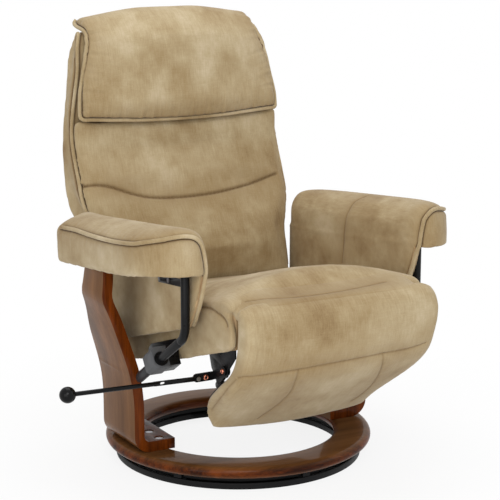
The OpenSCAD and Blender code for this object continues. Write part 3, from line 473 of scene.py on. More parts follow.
KEPT = {"ring_pads": RING_STEEL, "leg_bolts": ZINC, "arm_screws": ZINC, "arm_frame_right": PLYWOOD,
        "arm_frame_left": PLYWOOD, "seat_frame": PLYWOOD, "seat_springs": ZINC, "dust_cover": BLACK_CLOTH,
        "glide_bush_right": BLACK_STEEL, "glide_bush_left": BLACK_STEEL, "hinge_pins": ZINC,
        "lever_shaft": BLACK_STEEL, "lever_pin": ZINC, "footrest_board": BLACK_CLOTH, "footrest_pins": ZINC,
        "back_panel": SUEDE, "headrest_ears": BLACK_STEEL, "headrest_plate": SUEDE,
        "headrest_hinge": BLACK_STEEL}
for node, material in KEPT.items():
    nodes[node].data.materials.clear()
    nodes[node].data.materials.append(material)
print("rigid solids that only got a material:", len(KEPT))


# %% [markdown]
# The wooden ring is turned, so it is made the way a lathe makes it: one profile, a flat
# plate with a full round on both edges, carried round the middle in fine steps.

# %% Wooden ring
RING_STEPS, ROUND_STEPS = 192, 14


def turned_ring(node, name, material):
    low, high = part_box(node)
    outer = high.x
    inner = min((v.co.xy.length for v in nodes[node].data.vertices if v.co.xy.length > outer / 2))
    middle, half = (low.z + high.z) / 2, (high.z - low.z) / 2
    turns = [math.pi * k / ROUND_STEPS for k in range(ROUND_STEPS + 1)]
    profile = [(outer - half + half * math.sin(a), middle + half * math.cos(a)) for a in turns]
    profile += [(inner + half - half * math.sin(a), middle - half * math.cos(a)) for a in turns]
    verts, faces, count = [], [], len(profile)
    for i in range(RING_STEPS):
        a = 2 * math.pi * i / RING_STEPS
        verts += [(r * math.cos(a), r * math.sin(a), z) for r, z in profile]
        here, after = i * count, (i + 1) % RING_STEPS * count
        for k in range(count):
            n = (k + 1) % count
            faces.append((here + k, here + n, after + n, after + k))
    mesh = bpy.data.meshes.new(name)
    mesh.from_pydata(verts, [], faces)
    edit(mesh, lambda bm: bmesh.ops.recalc_face_normals(bm, faces=bm.faces))
    return soften(add_object(name, mesh, material))


wood_ring = turned_ring("base_ring", "wooden_ring", WOOD_RING)
mark_edge_shade(wood_ring, 2)
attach(wood_ring, BODY_OF["base_ring"])
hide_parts("base_ring")
print("ring:", len(wood_ring.data.polygons), "faces")


# %% [markdown]
# A cushion is foam that presses its cover tight. The frame has a solid of the right size
# for each one. Here it is remeshed into even squares, drawn in a little and blown up again
# as a cloth under pressure, with a cap on how far a point may travel. That rounds what was
# faceted, and puts the strain where a real cover has it. A cover that is blown up also pulls
# its own sides in, but foam holds them, so a point that sinks keeps only a part of its way.

# %% Foam under a cover
INSET, HELD, STEPS = 0.001, 0.15, 16
STRETCH = {"quality": 4, "mass": 0.3, "tension_stiffness": 12, "compression_stiffness": 12, "shear_stiffness": 6,
           "bending_stiffness": 0.6, "use_pressure": True, "uniform_pressure_force": 4.0}


def drawn_in(piece, depth):
    move_points(piece, points_of(piece) - points_of(piece, "normal") * depth)


def blown_up(piece, cap):
    """Cloth under pressure. No point moves further than cap, and where it would sink in, only a little."""
    start, normals = points_of(piece), points_of(piece, "normal")
    cloth = piece.modifiers.new("cover", "CLOTH")
    for name, value in STRETCH.items():
        setattr(cloth.settings, name, value)
    cloth.settings.effector_weights.gravity = 0
    cloth.point_cache.frame_start, cloth.point_cache.frame_end = 1, STEPS
    for step in range(1, STEPS + 1):
        bpy.context.scene.frame_set(step)
    bake(piece)
    bpy.context.scene.frame_set(1)
    move = points_of(piece) - start
    length = np.linalg.norm(move, axis=1, keepdims=True)
    outwards = (move * normals).sum(axis=1, keepdims=True) > 0
    share = cap * np.tanh(length / cap) / np.maximum(length, 1e-9) * np.where(outwards, 1.0, HELD)
    move_points(piece, start + move * share)


ARM_MID, ARM_UNDER, ARM_SLOPE = -0.115, 0.523, math.radians(5.5)


def board_below(bm):
    """Keeps the part of an armrest's boards that stands below the armrest, and closes its top."""
    plane, up = (0, ARM_MID, ARM_UNDER), (0, math.sin(ARM_SLOPE), math.cos(ARM_SLOPE))
    geometry = bm.verts[:] + bm.edges[:] + bm.faces[:]
    cut = bmesh.ops.bisect_plane(bm, geom=geometry, plane_co=plane, plane_no=up, clear_outer=True)
    rim = [e for e in cut["geom_cut"] if isinstance(e, bmesh.types.BMEdge)]
    bmesh.ops.holes_fill(bm, edges=rim, sides=0)


def add_solid(piece, node, work=None, shift=(0, 0, 0)):
    """Adds another solid of the frame to a piece. The remesh makes one skin of them all."""
    extra = merged_copy(node, "extra", None)
    extra.data.transform(Matrix.Translation(shift))
    if work:
        edit(extra.data, work)
    edit(piece.data, lambda bm: bm.from_mesh(extra.data))
    bpy.data.objects.remove(extra)


BRIDGE, FILL = 0.005, 0.7


def cushion(members, name, voxel=0.006, cap=None, smooth=4, board=None):
    """One padded piece from one or more soft solids. Solids that almost touch are bridged."""
    node, *others = members
    piece = merged_copy(node, name, SUEDE)
    for other in others:
        add_solid(piece, other)
        add_solid(piece, other, shift=(0, 0, BRIDGE))
    if board:
        add_solid(piece, board, board_below)
    modified(piece, "REMESH", mode="VOXEL", voxel_size=voxel)
    modified(piece, "SMOOTH", factor=0.5, iterations=smooth)
    if cap:
        drawn_in(piece, INSET)
        blown_up(piece, cap)
        modified(piece, "SMOOTH", factor=0.5, iterations=2)
    modified(piece, "SUBSURF", levels=1, render_levels=1)
    soften(piece)
    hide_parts(*members)
    print(name, len(piece.data.polygons), "faces")
    return piece


headrest = cushion(["headrest_pad"], "headrest_cushion", cap=0.005)
back = cushion(["back_cushion"], "back_cushion_cover", cap=0.005)
shell = cushion(["back_shell"], "back_shell_cover", smooth=3)
seat = cushion(["seat_cushion", "seat_side_right", "seat_side_left"], "seat_cover", 0.005, cap=0.003, smooth=10)
footrest = cushion(["footrest_pad"], "footrest_cushion", cap=0.004, smooth=3)
arms = {side: cushion([f"arm_pad_{side}", f"arm_panel_{side}"], f"armrest_{side}", 0.0045, cap=0.003, smooth=3,
                      board=f"arm_frame_{side}") for side in SIDES}


# %% [markdown]
# Foam is thinner towards the ends of a cushion, so its top line sags there and stands a
# little higher in the middle. The headrest's roll and the corners of the footrest get that
# by moving their points, more the nearer they are to an end. In the same way the back's
# cushion rises until it carries the headrest, and the armrests' inner rear ends reach back
# beside it. A ledge where two solids were joined is ironed flat.

# %% Crowned cushions
def ramp(a, b, x):
    t = np.clip((x - a) / (b - a), 0.0, 1.0)
    return t * t * (3 - 2 * t)


def reshaped(piece, work):
    """Moves the points by work(distance from the middle, depth, height): outwards, back and up."""
    points = points_of(piece)
    out, back_by, up = work(np.abs(points[:, 0]), points[:, 1], points[:, 2])
    points[:, 0] += np.sign(points[:, 0]) * out
    points[:, 1] += back_by
    points[:, 2] += up
    move_points(piece, points)


def ironed(piece, chosen, times=16):
    """Smooths some of the points, such as a ledge where two solids were joined."""
    picked = [i for i, c in enumerate(chosen(*points_of(piece).T)) if c]

    def work(bm):
        bm.verts.ensure_lookup_table()
        some = [bm.verts[i] for i in picked]
        for _ in range(times):
            bmesh.ops.smooth_vert(bm, verts=some, factor=0.5, use_axis_x=True, use_axis_y=True, use_axis_z=True)

    edit(piece.data, work)


HEAD_CROWN, HEAD_SAG, HEAD_TOP, HEAD_ENDS = 0.005, 0.012, (0.92, 1.04), (0.06, 0.27)
HEAD_FOOT_SHARE, HEAD_FLARE, FLARE_HEIGHTS = 0.960, 0.022, (0.86, 0.96)
CORNER_DROP, CORNER_ENDS, CORNER_HEIGHTS = 0.011, (0.195, 0.252), (0.40, 0.48)
BACK_RISE, END_RISE, RISE_HEIGHTS, RISE_ENDS = 0.011, 0.005, (0.725, 0.772), (0.22, 0.27)
ARM_TAIL, TAIL_DEPTHS, TAIL_WIDTHS = 0.045, (0.06, 0.165), (0.36, 0.29)
LEDGE_REACH, LEDGE_LOW, LEDGE_HIGH = 0.31, 0.500, 0.580


def corner_drop(x):
    return CORNER_DROP * ramp(*CORNER_ENDS, x) ** 2


def head_share(z):
    """How wide the headrest is at a height, as a share of its solid."""
    return HEAD_FOOT_SHARE + HEAD_FLARE * ramp(*FLARE_HEIGHTS, z)


def head_shape(x, y, z):
    crown = HEAD_CROWN - (HEAD_CROWN + HEAD_SAG) * ramp(*HEAD_ENDS, x)
    return x * (head_share(z) - 1), 0, ramp(*HEAD_TOP, z) * crown


def back_shape(x, y, z):
    return 0, 0, ramp(*RISE_HEIGHTS, z) * (BACK_RISE + END_RISE * ramp(*RISE_ENDS, x))


reshaped(headrest, head_shape)
reshaped(back, back_shape)
reshaped(footrest, lambda x, y, z: (0, 0, -corner_drop(x) * ramp(*CORNER_HEIGHTS, z)))
for piece in arms.values():
    ironed(piece, lambda x, y, z: (np.abs(x) < LEDGE_REACH) & (z > LEDGE_LOW) & (z < LEDGE_HIGH))
    reshaped(piece, lambda x, y, z: (0, ARM_TAIL * ramp(*TAIL_DEPTHS, y) * ramp(*TAIL_WIDTHS, x), 0))
print("headrest's top:", round(points_of(headrest)[:, 2].max(), 3), "m")


# %% [markdown]
# Seams are what makes a cushion look sewn. A seam is a line on the cover: the line is found by casting rays at the
# padded piece, or by moving a drawn line to the nearest place on it. The cover is drawn in along the line, shade
# is painted into the crease and beside it, and small gathers fan out from it where the cloth is eased in. The same
# line then carries a welt, a cord wrapped in suede, or a row of stitches.

# %% Lines on a cover
LINE_STEP, KNOT_STEPS = 0.004, 16


def curve_through(points):
    """Even points on a smooth curve through a few."""
    knots = [Vector(p) for p in points]
    fine = []
    for i in range(len(knots) - 1):
        a, b, c, d = (knots[max(0, min(len(knots) - 1, i + k))] for k in (-1, 0, 1, 2))
        for t in (k / KNOT_STEPS for k in range(KNOT_STEPS)):
            fine.append(0.5 * (2 * b + (c - a) * t + (2 * a - 5 * b + 4 * c - d) * t * t
                               + (3 * b - a - 3 * c + d) * t ** 3))
    fine.append(knots[-1])
    lengths = np.concatenate([[0], np.cumsum([(q - p).length for p, q in zip(fine, fine[1:])])])
    stops = np.linspace(0, lengths[-1], max(2, round(lengths[-1] / LINE_STEP)))
    flat = np.array(fine)
    return [Vector([np.interp(s, lengths, flat[:, a]) for a in range(3)]) for s in stops]


def skin_of(*pieces):
    """One tree of the surfaces of several pieces, for rays and nearest points."""
    verts, faces = [], []
    for piece in pieces:
        first = len(verts)
        verts += [v.co.copy() for v in piece.data.vertices]
        faces += [[first + k for k in p.vertices] for p in piece.data.polygons]
    return BVHTree.FromPolygons(verts, faces)


def cast(skin, starts, direction):
    """Where rays in one direction first meet the skin. Rays that miss are left out."""
    hits = (skin.ray_cast(Vector(s), Vector(direction)) for s in starts)
    return [hit[0] for hit in hits if hit[0]]


def seen(skin, pixels):
    """The places on the skin that the camera sees at these points of its picture."""
    turn = camera.rotation_quaternion
    rays = [turn @ Vector((x - OPTICAL_CENTRE[0], OPTICAL_CENTRE[1] - y, -FOCAL)) for x, y in pixels]
    hits = (skin.ray_cast(EYE, ray.normalized()) for ray in rays)
    return [hit[0] for hit in hits if hit[0]]


def laid_on(skin, points, lift):
    """The points, moved to the nearest place on the skin and lifted off it."""
    found = (skin.find_nearest(p) for p in points)
    return [place + normal * lift for place, normal, _, _ in found]


def mirrored(points):
    return [Vector((-p.x, p.y, p.z)) for p in points]


# %% Sewing
def mark(piece, name, values):
    """Keeps the higher of the old and new values in an attribute of the points."""
    data = piece.data.attributes
    seam = data.get(name) or data.new(name, "FLOAT", "POINT")
    before = np.zeros(len(values), np.float32)
    seam.data.foreach_get("value", before)
    seam.data.foreach_set("value", np.maximum(before, values).astype(np.float32))


RIPPLES, SEAM_SHADE_WIDTH = (190.0, 271.0, 410.0), 0.035


def sewn(piece, line, depth, width, gather=0.0, seed=0, tone=0.45, cord=0.0, band=0.0026):
    """Draws the cover in along a line and paints shade into the crease there and into a wider strip beside it. A
    cord keeps the painted crease off the line.
    """
    tree = KDTree(len(line))
    for i, p in enumerate(line):
        tree.insert(p, i)
    tree.balance()
    points, normals = points_of(piece), points_of(piece, "normal")
    near = [tree.find(p) for p in points]
    distance = np.array([n[2] for n in near])
    along = np.array([n[1] for n in near]) * LINE_STEP
    groove = np.exp(-(distance / width) ** 2)
    rng = np.random.default_rng(seed)
    waves = sum(np.sin(along * f + rng.uniform(0, 6.3)) for f in RIPPLES) / len(RIPPLES)
    swell = gather * waves * np.exp(-distance / (4 * width)) * (1 - np.exp(-(distance / width) ** 2))
    move_points(piece, points - normals * (depth * groove - swell)[:, None])
    # Painted shade in the crease, kept off the cord, and on a wider strip of painted shade beside the line.
    beside = np.maximum(distance - cord, 0)
    mark(piece, "seam", tone * np.exp(-(beside / band) ** 2))
    mark(piece, "near_seam", np.exp(-distance / SEAM_SHADE_WIDTH))


# %% [markdown]
# A welt follows its line, so Geometry Nodes make it: the line becomes a curve, a circle is
# swept along it, and the tree ends in the material. A second tree sets a short stitch on
# every few millimetres of a line and turns it along the line. Stitches are instances until
# Realize Instances makes them a mesh.

# %% Welts and stitches
def line_tree(name, sockets, build):
    tree = bpy.data.node_groups.new(name, "GeometryNodeTree")
    face = tree.interface
    face.new_socket("Geometry", in_out="INPUT", socket_type="NodeSocketGeometry")
    names = {s: face.new_socket(s, in_out="INPUT", socket_type="NodeSocket" + kind).identifier
             for s, kind in sockets.items()}
    face.new_socket("Geometry", in_out="OUTPUT", socket_type="NodeSocketGeometry")
    source, target = tree.nodes.new("NodeGroupInput"), tree.nodes.new("NodeGroupOutput")

    def node(kind, settings=None, **links):
        made = tree.nodes.new(kind)
        for key, value in (settings or {}).items():
            setattr(made, key, value)
        for key, value in links.items():
            socket = made.inputs[key.replace("_", " ")]
            if isinstance(value, bpy.types.NodeSocket):
                tree.links.new(value, socket)
            else:
                socket.default_value = value
        return made.outputs

    tree.links.new(build(node, source.outputs), target.inputs["Geometry"])
    return tree, names


def build_welt(node, given):
    line = node("GeometryNodeMeshToCurve", Mesh=given["Geometry"])["Curve"]
    ring = node("GeometryNodeCurvePrimitiveCircle", Resolution=10, Radius=given["Radius"])["Curve"]
    tube = node("GeometryNodeCurveToMesh", Curve=line, Profile_Curve=ring, Fill_Caps=True)["Mesh"]
    return node("GeometryNodeSetMaterial", Geometry=tube, Material=given["Cover"])["Geometry"]


def build_stitches(node, given):
    line = node("GeometryNodeMeshToCurve", Mesh=given["Geometry"])["Curve"]
    spots = node("GeometryNodeCurveToPoints", {"mode": "LENGTH"}, Curve=line, Length=given["Spacing"])
    thread = node("GeometryNodeMeshCylinder", Vertices=6, Radius=given["Radius"], Depth=given["Length"])["Mesh"]
    set_down = node("GeometryNodeInstanceOnPoints", Points=spots["Points"], Instance=thread,
                    Rotation=spots["Rotation"])["Instances"]
    real = node("GeometryNodeRealizeInstances", Geometry=set_down)["Geometry"]
    return node("GeometryNodeSetMaterial", Geometry=real, Material=given["Cover"])["Geometry"]


WELT = line_tree("welt", {"Radius": "Float", "Cover": "Material"}, build_welt)
STITCHES = line_tree("stitches", {"Radius": "Float", "Length": "Float", "Spacing": "Float",
                                  "Cover": "Material"}, build_stitches)


def along_line(name, line, kind, body, slot, **values):
    """A piece that a tree makes along a line, as a plain mesh that rides on a body."""
    mesh = bpy.data.meshes.new(name)
    mesh.from_pydata(line, [(i, i + 1) for i in range(len(line) - 1)], [])
    piece = add_object(name, mesh)
    tree, names = kind
    modifier = piece.modifiers.new("line", "NODES")
    modifier.node_group = tree
    for key, value in values.items():
        modifier[names[key]] = value
    soften(bake(piece))
    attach(piece, body)
    return piece


WELT_RADIUS = 0.0048
WELT_LIFT, STITCH_LIFT = 0.0006, 0.0002


def welt(name, line, body):
    return along_line(name, line, WELT, body, "suede_cloth", Radius=WELT_RADIUS, Cover=SUEDE)


def stitches(name, piece, line, body):
    """A row of stitches along a line, laid on the piece as it is after sewing."""
    laid = laid_on(skin_of(piece), line, STITCH_LIFT)
    return along_line(name, laid, STITCHES, body, "suede_cloth", Radius=0.00045, Length=0.0032,
                      Spacing=0.0048, Cover=THREAD)


print("trees:", [tree.name for tree in bpy.data.node_groups])


# %% [markdown]
# The headrest's welt is where its front panel meets the back one. It starts under the tip
# of the rolled top, follows the roll's underside down, turns the lower corner and runs
# along the lower edge. Its path is given for one side, as depth and height down the side
# and as whole points from the corner on, and laid on the cushion.

# %% Headrest seams
HEAD_TAPER, TAPER_HEIGHTS, WELT_INSIDE = 0.18, (0.800, 1.060), 0.002
HEAD_SIDE = [(0.427, 1.040), (0.420, 1.023), (0.396, 1.013), (0.372, 1.009), (0.352, 1.001), (0.336, 0.984),
             (0.326, 0.960), (0.320, 0.930), (0.315, 0.895), (0.309, 0.860), (0.301, 0.830)]
HEAD_CORNER = [(0.290, 0.294, 0.808), (0.282, 0.290, 0.796), (0.268, 0.287, 0.789), (0.245, 0.284, 0.786)]
HEAD_FOOT = [(0.17, 0.282, 0.783), (0.085, 0.281, 0.781), (0.0, 0.281, 0.781)]


def head_half(z):
    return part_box("headrest_pad")[1].x * (1 - HEAD_TAPER * ramp(*TAPER_HEIGHTS, z)) * head_share(z)


half = [(head_half(z) - WELT_INSIDE, y, z) for y, z in HEAD_SIDE] + HEAD_CORNER + HEAD_FOOT
half = [Vector(p) for p in half]
drawn = curve_through(half + mirrored(half[:-1])[::-1])
line = curve_through(laid_on(skin_of(headrest), drawn, 0.0)[::5])
welt("headrest_welt", laid_on(skin_of(headrest), line, WELT_LIFT), "headrest")
sewn(headrest, line, 0.005, 0.009, gather=0.0028, seed=3, tone=0.9, cord=WELT_RADIUS)
print("headrest seam:", round(len(line) * LINE_STEP, 2), "m")


# %% [markdown]
# On the back, the cover of the shell meets the front cushion in a welt down each side, and
# one deep channel curves across the cushion where it is sewn down to the board.

# %% Back seams
BACKWARDS, DOWN = (0, 1, 0), (0, 0, -1)
AHEAD, ABOVE, RIM = -0.7, 1.3, 0.010
BACK_HALF, WAIST, WAIST_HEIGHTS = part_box("back_shell")[1].x, 256 / 296, (0.480, 0.600)
NECK, NECK_HEIGHTS = 0.08, (0.720, 0.960)
SHOULDER, SHOULDER_HEIGHTS = 0.055, (0.950, 1.010)


def back_half(z):
    """Half the back's width at a height: a waist between the armrests, and narrower again towards the top."""
    share = WAIST + (1 - WAIST) * ramp(*WAIST_HEIGHTS, z) - NECK * ramp(*NECK_HEIGHTS, z)
    return BACK_HALF * (share - SHOULDER * ramp(*SHOULDER_HEIGHTS, z))


shell_skin = skin_of(shell)
side = cast(shell_skin, [(back_half(z) - RIM, AHEAD, z) for z in np.linspace(0.40, 0.995, 24)], BACKWARDS)
over = cast(shell_skin, [(back_half(1.005) - RIM, y, ABOVE) for y in (0.362, 0.374, 0.384)], DOWN)
for name, line in (("left", curve_through(side + over)), ("right", curve_through(mirrored(side + over)))):
    welt("back_welt_" + name, laid_on(skin_of(shell), line, 0.0), "back")
    sewn(shell, line, 0.002, 0.006, tone=0.9, cord=WELT_RADIUS, band=0.0040)

CHANNEL = [(77.4, 188.2), (87, 186), (98, 185.2), (112, 187.5), (136, 194.5), (150, 197), (166, 197.6), (190, 196),
           (216, 192.4), (238, 187), (257.3, 180.8), (272, 175), (284.7, 170)]
PAST_THE_EDGE = 0.020
hits = seen(skin_of(back), CHANNEL)
ends = [a + (a - b).normalized() * PAST_THE_EDGE for a, b in ((hits[0], hits[1]), (hits[-1], hits[-2]))]
line = curve_through(laid_on(skin_of(back), curve_through([ends[0], *hits, ends[1]]), 0.0)[::3])
sewn(back, line, 0.004, 0.0045, gather=0.0010, seed=5, tone=0.8, band=0.0034)
channel_thread = stitches("back_stitches", back, line, "back")
print("channel across the back:", round(len(line) * LINE_STEP, 2), "m")

# %% [markdown]
# The top of this cushion carries the headrest's lower edge, which swings down as the headrest tips forward. Here
# the cushion and the channel's thread only get meshes of their own.

# %% Meshes of their own
for piece in (back, channel_thread):
    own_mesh(piece)

# %% [markdown]
# The footrest has one seam across, two that curve down from it to the lower edge, and one
# down the near corner. They are drawn over the picture, because the camera sees the whole
# front of it, and each point is carried along the camera's ray to the cover.

# %% Footrest seams
ACROSS = [(238, 378), (247.3, 377), (280, 373), (298, 370), (341, 362), (382, 354), (408.6, 348.8), (426, 343)]
CURVE_NEAR = [(298.2, 370.7), (295.5, 381.4), (289.3, 394), (276, 406.4), (258, 419)]
CURVE_FAR = [(382.7, 354), (381.8, 367.5), (373, 383.6), (362, 394.3), (351, 401.4)]
EDGE_STRIP = [(235.7, 379.6), (222.3, 395.7), (211.6, 410)]
FOOT_LINES = ((ACROSS, 0.0022), (CURVE_NEAR, 0.0016), (CURVE_FAR, 0.0016), (EDGE_STRIP, 0.0012))
FOOT_SEED = 11
for k, (drawn, depth) in enumerate(FOOT_LINES):
    line = curve_through(seen(skin_of(footrest), drawn))
    sewn(footrest, line, depth, 0.0040, gather=0.0006, seed=FOOT_SEED + k, tone=0.35)
    stitches(f"footrest_stitches_{k}", footrest, line, "footrest")
    print("footrest seam", k, "is", round(len(line) * LINE_STEP, 2), "m long")

# %% [markdown]
# An armrest's panel and top are one sheet, and a band wraps its front and outer side. The
# welt between them climbs the panel's front edge, bends outward over the front and runs
# back along the outer edge. The line is given for the left armrest and mirrored.

# %% Armrest seams
ARM_LINE = [(0.269, -0.284, 0.411), (0.272, -0.312, 0.432), (0.273, -0.330, 0.464), (0.274, -0.348, 0.511),
            (0.275, -0.359, 0.545), (0.278, -0.361, 0.573), (0.285, -0.358, 0.592), (0.295, -0.352, 0.606),
            (0.317, -0.347, 0.621), (0.346, -0.342, 0.626), (0.375, -0.318, 0.618), (0.395, -0.270, 0.604),
            (0.404, -0.220, 0.597), (0.405, -0.134, 0.588), (0.405, -0.030, 0.582), (0.405, 0.062, 0.581),
            (0.404, 0.150, 0.571)]
INNER_SEAM = [(0.330, -0.075, 0.650), (0.300, -0.070, 0.640), (0.280, -0.066, 0.600), (0.268, -0.062, 0.550),
              (0.266, -0.056, 0.500), (0.266, -0.050, 0.449)]
for side, sign in SIDES.items():
    drawn = curve_through([(sign * x, y, z) for x, y, z in ARM_LINE])
    line = curve_through(laid_on(skin_of(arms[side]), drawn, 0.0)[::4])
    welt("armrest_welt_" + side, laid_on(skin_of(arms[side]), line, WELT_LIFT), "pedestal")
    sewn(arms[side], line, 0.0045, 0.0085, gather=0.0008, seed=21, tone=0.9, cord=WELT_RADIUS)
    print(side, "armrest's welt:", round(len(line) * LINE_STEP, 2), "m")
    drawn = curve_through([(sign * x, y, z) for x, y, z in INNER_SEAM])
    line = curve_through(laid_on(skin_of(arms[side]), drawn, 0.0)[::3])
    sewn(arms[side], line, 0.0015, 0.004)
    stitches("armrest_stitches_" + side, arms[side], line, "pedestal")


# %% [markdown]
# Between the seat and the footrest the cover runs on over the hinge. Here that is a roll of
# its own, which fills the valley between the two cushions. One of its edges stays with the
# seat and the other turns with the footrest, so it bends as the real cover does.

# %% Cover over the footrest's hinge
HINGE_HALF = 0.238
HINGE_ROLL = [(-0.380, 0.5020), (-0.398, 0.4985), (-0.415, 0.4945), (-0.430, 0.4915), (-0.445, 0.4895),
              (-0.460, 0.4868), (-0.470, 0.4815), (-0.463, 0.4700), (-0.445, 0.4600), (-0.425, 0.4520),
              (-0.400, 0.4580), (-0.380, 0.4750)]
STATIONS, END_THINNER, THINNER_FROM, END_FALL, FALL_FROM = 31, 0.45, 0.040, 0.012, 0.070


def roll(name, outline, half):
    """A closed bar of one section across the chair. Its ends are thinner and drop like the corners."""
    middle = np.mean(outline, axis=0)
    stops = np.sin(np.linspace(-math.pi / 2, math.pi / 2, STATIONS)) * half
    count = len(outline)
    verts = []
    for x in stops:
        share = 1 - END_THINNER * ramp(half - THINNER_FROM, half, abs(x))
        fall = np.array((0, corner_drop(abs(x)) + END_FALL * ramp(half - FALL_FROM, half, abs(x))))
        verts += [(x, *(middle + (np.array(p) - middle) * share - fall)) for p in outline]
    faces = [(i * count + k, i * count + (k + 1) % count, (i + 1) * count + (k + 1) % count, (i + 1) * count + k)
             for i in range(len(stops) - 1) for k in range(count)]
    faces += [tuple(range(count)), tuple(range(len(verts) - count, len(verts)))]
    mesh = bpy.data.meshes.new(name)
    mesh.from_pydata(verts, [], faces)
    edit(mesh, lambda bm: bmesh.ops.recalc_face_normals(bm, faces=bm.faces))
    return add_object(name, mesh, SUEDE)


hinge_cover = roll("hinge_cover", HINGE_ROLL, HINGE_HALF)
modified(hinge_cover, "REMESH", mode="VOXEL", voxel_size=0.004)
modified(hinge_cover, "SMOOTH", factor=0.5, iterations=4)
modified(hinge_cover, "SUBSURF", levels=1, render_levels=1)
soften(hinge_cover)
HINGE_SEAM = [(228, 308.4), (234.4, 304.3), (246, 301.3), (260, 299.3), (296, 297), (342.5, 290.7), (385.4, 281.8),
              (410.4, 274.6)]
line = curve_through(seen(skin_of(hinge_cover), HINGE_SEAM))
sewn(hinge_cover, line, 0.0010, 0.0035, tone=0.3)
stitches("hinge_stitches", hinge_cover, line, "seat")
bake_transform(hinge_cover, "seat", "footrest", start=(0, -0.405, 0.49), end=(0, -0.448, 0.49))
print("hinge cover:", len(hinge_cover.data.polygons), "faces")

# %% [markdown]
# The seat's sides are sheets of their own, sewn to its top over the nose. The near seam is
# drawn over the picture, and its mirror image is laid on the far side.

# %% Seat seams
SIDE_SEAM = [(197, 306.8), (202.9, 307.2), (210.8, 308.7), (218.6, 314.1), (224.6, 320), (227.5, 327.9)]
near = curve_through(seen(skin_of(seat), SIDE_SEAM))
for name, line in (("right", near), ("left", mirrored(near))):
    line = curve_through(laid_on(skin_of(seat), line, 0.0)[::2])
    sewn(seat, line, 0.0030, 0.0050, gather=0.0008, seed=31, tone=0.8)
    stitches("seat_stitches_" + name, seat, line, "seat")
    print(name, "seat seam:", round(len(line) * LINE_STEP, 2), "m")

# %% [markdown]
# Two copper rivets hold the lever's crank. A rivet is turned: a low dome round a dimple
# that goes down to the dark shank. One profile, carried round an axis, makes it.

# %% Rivets
RIVET = [(0.0, 0.0004), (0.34, 0.0004), (0.42, 0.0016), (0.62, 0.0024), (0.85, 0.0020), (1.0, 0.0006),
         (1.0, -0.0040)]
RIVET_STEPS, RIVET_SHANK, RIVET_CREASE = 28, 2, math.radians(50)


def rivet(name, place, facing, radius, body):
    turn = Vector(facing).to_track_quat("Z", "Y")
    rings = [[Vector(place) + turn @ Vector((r * radius * math.cos(a), r * radius * math.sin(a), h))
              for a in (2 * math.pi * k / RIVET_STEPS for k in range(RIVET_STEPS))] for r, h in RIVET]
    verts = [p for ring in rings for p in ring]
    faces = [(i * RIVET_STEPS + k, i * RIVET_STEPS + (k + 1) % RIVET_STEPS,
              (i + 1) * RIVET_STEPS + (k + 1) % RIVET_STEPS, (i + 1) * RIVET_STEPS + k)
             for i in range(len(RIVET) - 1) for k in range(RIVET_STEPS)]
    faces.append(tuple(range(len(verts) - RIVET_STEPS, len(verts))))
    mesh = bpy.data.meshes.new(name)
    mesh.from_pydata(verts, [], faces)
    mesh.materials.append(COPPER)
    mesh.materials.append(BLACK_STEEL)
    for face in mesh.polygons[:RIVET_SHANK * RIVET_STEPS]:
        face.material_index = 1
    edit(mesh, lambda bm: bmesh.ops.remove_doubles(bm, verts=bm.verts, dist=1e-6))
    edit(mesh, lambda bm: bmesh.ops.recalc_face_normals(bm, faces=bm.faces))
    piece = soften(add_object(name, mesh))
    piece.data.set_sharp_from_angle(angle=RIVET_CREASE)
    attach(piece, body)
    return piece


rivet("crank_rivet", (-0.237, -0.2804, 0.286), (0, -1, 0), 0.0065, BODY_OF["lever_crank"])
rivet("shaft_rivet", (-0.2194, -0.323, 0.308), (-1, 0, 0), 0.0060, BODY_OF["lever_crank"])

# %% [markdown]
# Each cover goes with the part of the chair that it is fixed to. The bodies are the ones
# that the frame's joints move.

# %% Riding on the bodies
RIDES = [(headrest, "headrest"), (back, "back"), (shell, "back"), (seat, "seat"), (footrest, "footrest")]
RIDES += [(piece, "pedestal") for piece in arms.values()]
for piece, body in RIDES:
    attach(piece, body)
print("covers on their bodies:", len(RIDES))

# %% [markdown]
# The room is plain: a pale floor that fades into white, and four large soft lamps. White
# for the eye and for reflections comes from the world itself. What lights the chair is
# kept lower, so that a colour looks as it was mixed.

# %% Room and light
FLOOR_RADIUS, FLOOR_SIDES = 9.0, 64
FADE_FROM, FADE_TO, NEAR_WHITE = 0.45, 1.1, 0.86


def floor_material():
    r = Recipe("pale_floor")
    distance = r.node("VectorMath", {"operation": "LENGTH"}, {0: r.place}, out="Value")
    rays = sum(r.node("LightPath", out=f"Is {kind} Ray") for kind in ("Camera", "Glossy", "Transmission"))
    paint = r.node("BsdfDiffuse", {}, {"Color": (0.93, 0.93, 0.93, 1)})
    white = r.node("Emission", {}, {"Color": (1, 1, 1, 1), "Strength": 1.0})
    far = distance.clamp(FADE_FROM, FADE_TO)
    share = rays.clamp(0.0, 1.0) * (far * (1 - NEAR_WHITE) + NEAR_WHITE)
    return r.finish(r.node("MixShader", {}, {0: share, 1: paint, 2: white}))


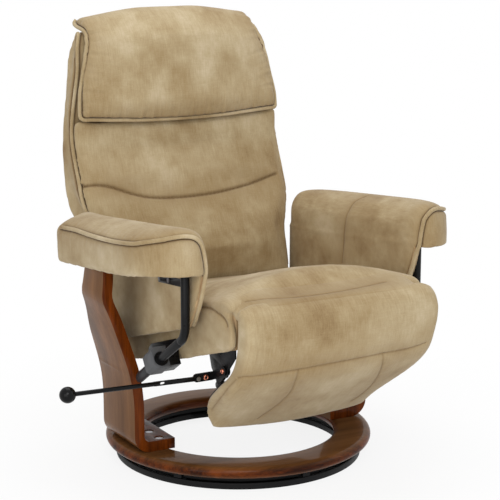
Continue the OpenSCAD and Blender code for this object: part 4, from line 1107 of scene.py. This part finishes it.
floor_mesh = bpy.data.meshes.new("floor")
edge = [(FLOOR_RADIUS * math.cos(a), FLOOR_RADIUS * math.sin(a), 0)
        for a in (2 * math.pi * k / FLOOR_SIDES for k in range(FLOOR_SIDES))]
floor_mesh.from_pydata(edge, [], [tuple(range(FLOOR_SIDES))])
floor = add_object("floor", floor_mesh, floor_material())

world = bpy.data.worlds.new("room")
bpy.context.scene.world = world
world.use_nodes = True
tree = world.node_tree
tree.nodes.clear()


def world_math(operation, *values):
    made = tree.nodes.new("ShaderNodeMath")
    made.operation = operation
    for socket, value in zip(made.inputs, values):
        tree.links.new(value, socket)
    return made.outputs[0]


def sky(colour, strength):
    made = tree.nodes.new("ShaderNodeBackground")
    made.inputs["Color"].default_value = (*colour, 1)
    made.inputs["Strength"].default_value = strength
    return made.outputs[0]


rays = tree.nodes.new("ShaderNodeLightPath").outputs
shown_to = world_math("MAXIMUM", world_math("MAXIMUM", rays["Is Camera Ray"], rays["Is Glossy Ray"]),
                      rays["Is Transmission Ray"])
blend = tree.nodes.new("ShaderNodeMixShader")
tree.links.new(shown_to, blend.inputs[0])
tree.links.new(sky((0.97, 0.98, 1.0), 0.58), blend.inputs[1])
tree.links.new(sky((1, 1, 1), 1.0), blend.inputs[2])
tree.links.new(blend.outputs[0], tree.nodes.new("ShaderNodeOutputWorld").inputs["Surface"])


def soft_lamp(name, place, aim, size, power):
    light = bpy.data.lights.new(name, "AREA")
    light.shape = "SQUARE"
    light.size = size
    light.energy = power
    lamp = bpy.data.objects.new(name, light)
    lamp.location = place
    lamp.rotation_mode = "QUATERNION"
    lamp.rotation_quaternion = (Vector(aim) - Vector(place)).to_track_quat("-Z", "Y")
    bpy.context.scene.collection.objects.link(lamp)


CHAIR = (0, 0, 0.5)
soft_lamp("key", (-1.6, -3.2, 2.6), CHAIR, 1.8, 44)
soft_lamp("side", (-3.0, -2.6, 0.7), CHAIR, 2.8, 40)
soft_lamp("fill", (3.2, -2.2, 2.0), CHAIR, 2.0, 16)
soft_lamp("top", (0.2, 0.6, 3.4), CHAIR, 2.4, 42)
print("lamps:", len(bpy.data.lights))

# %% [markdown]
# A cover may stand a little proud of its solid, but the chair keeps its size. Here the view layer is only brought
# up to date.

# %% Brought up to date
view = bpy.context.view_layer
view.update()
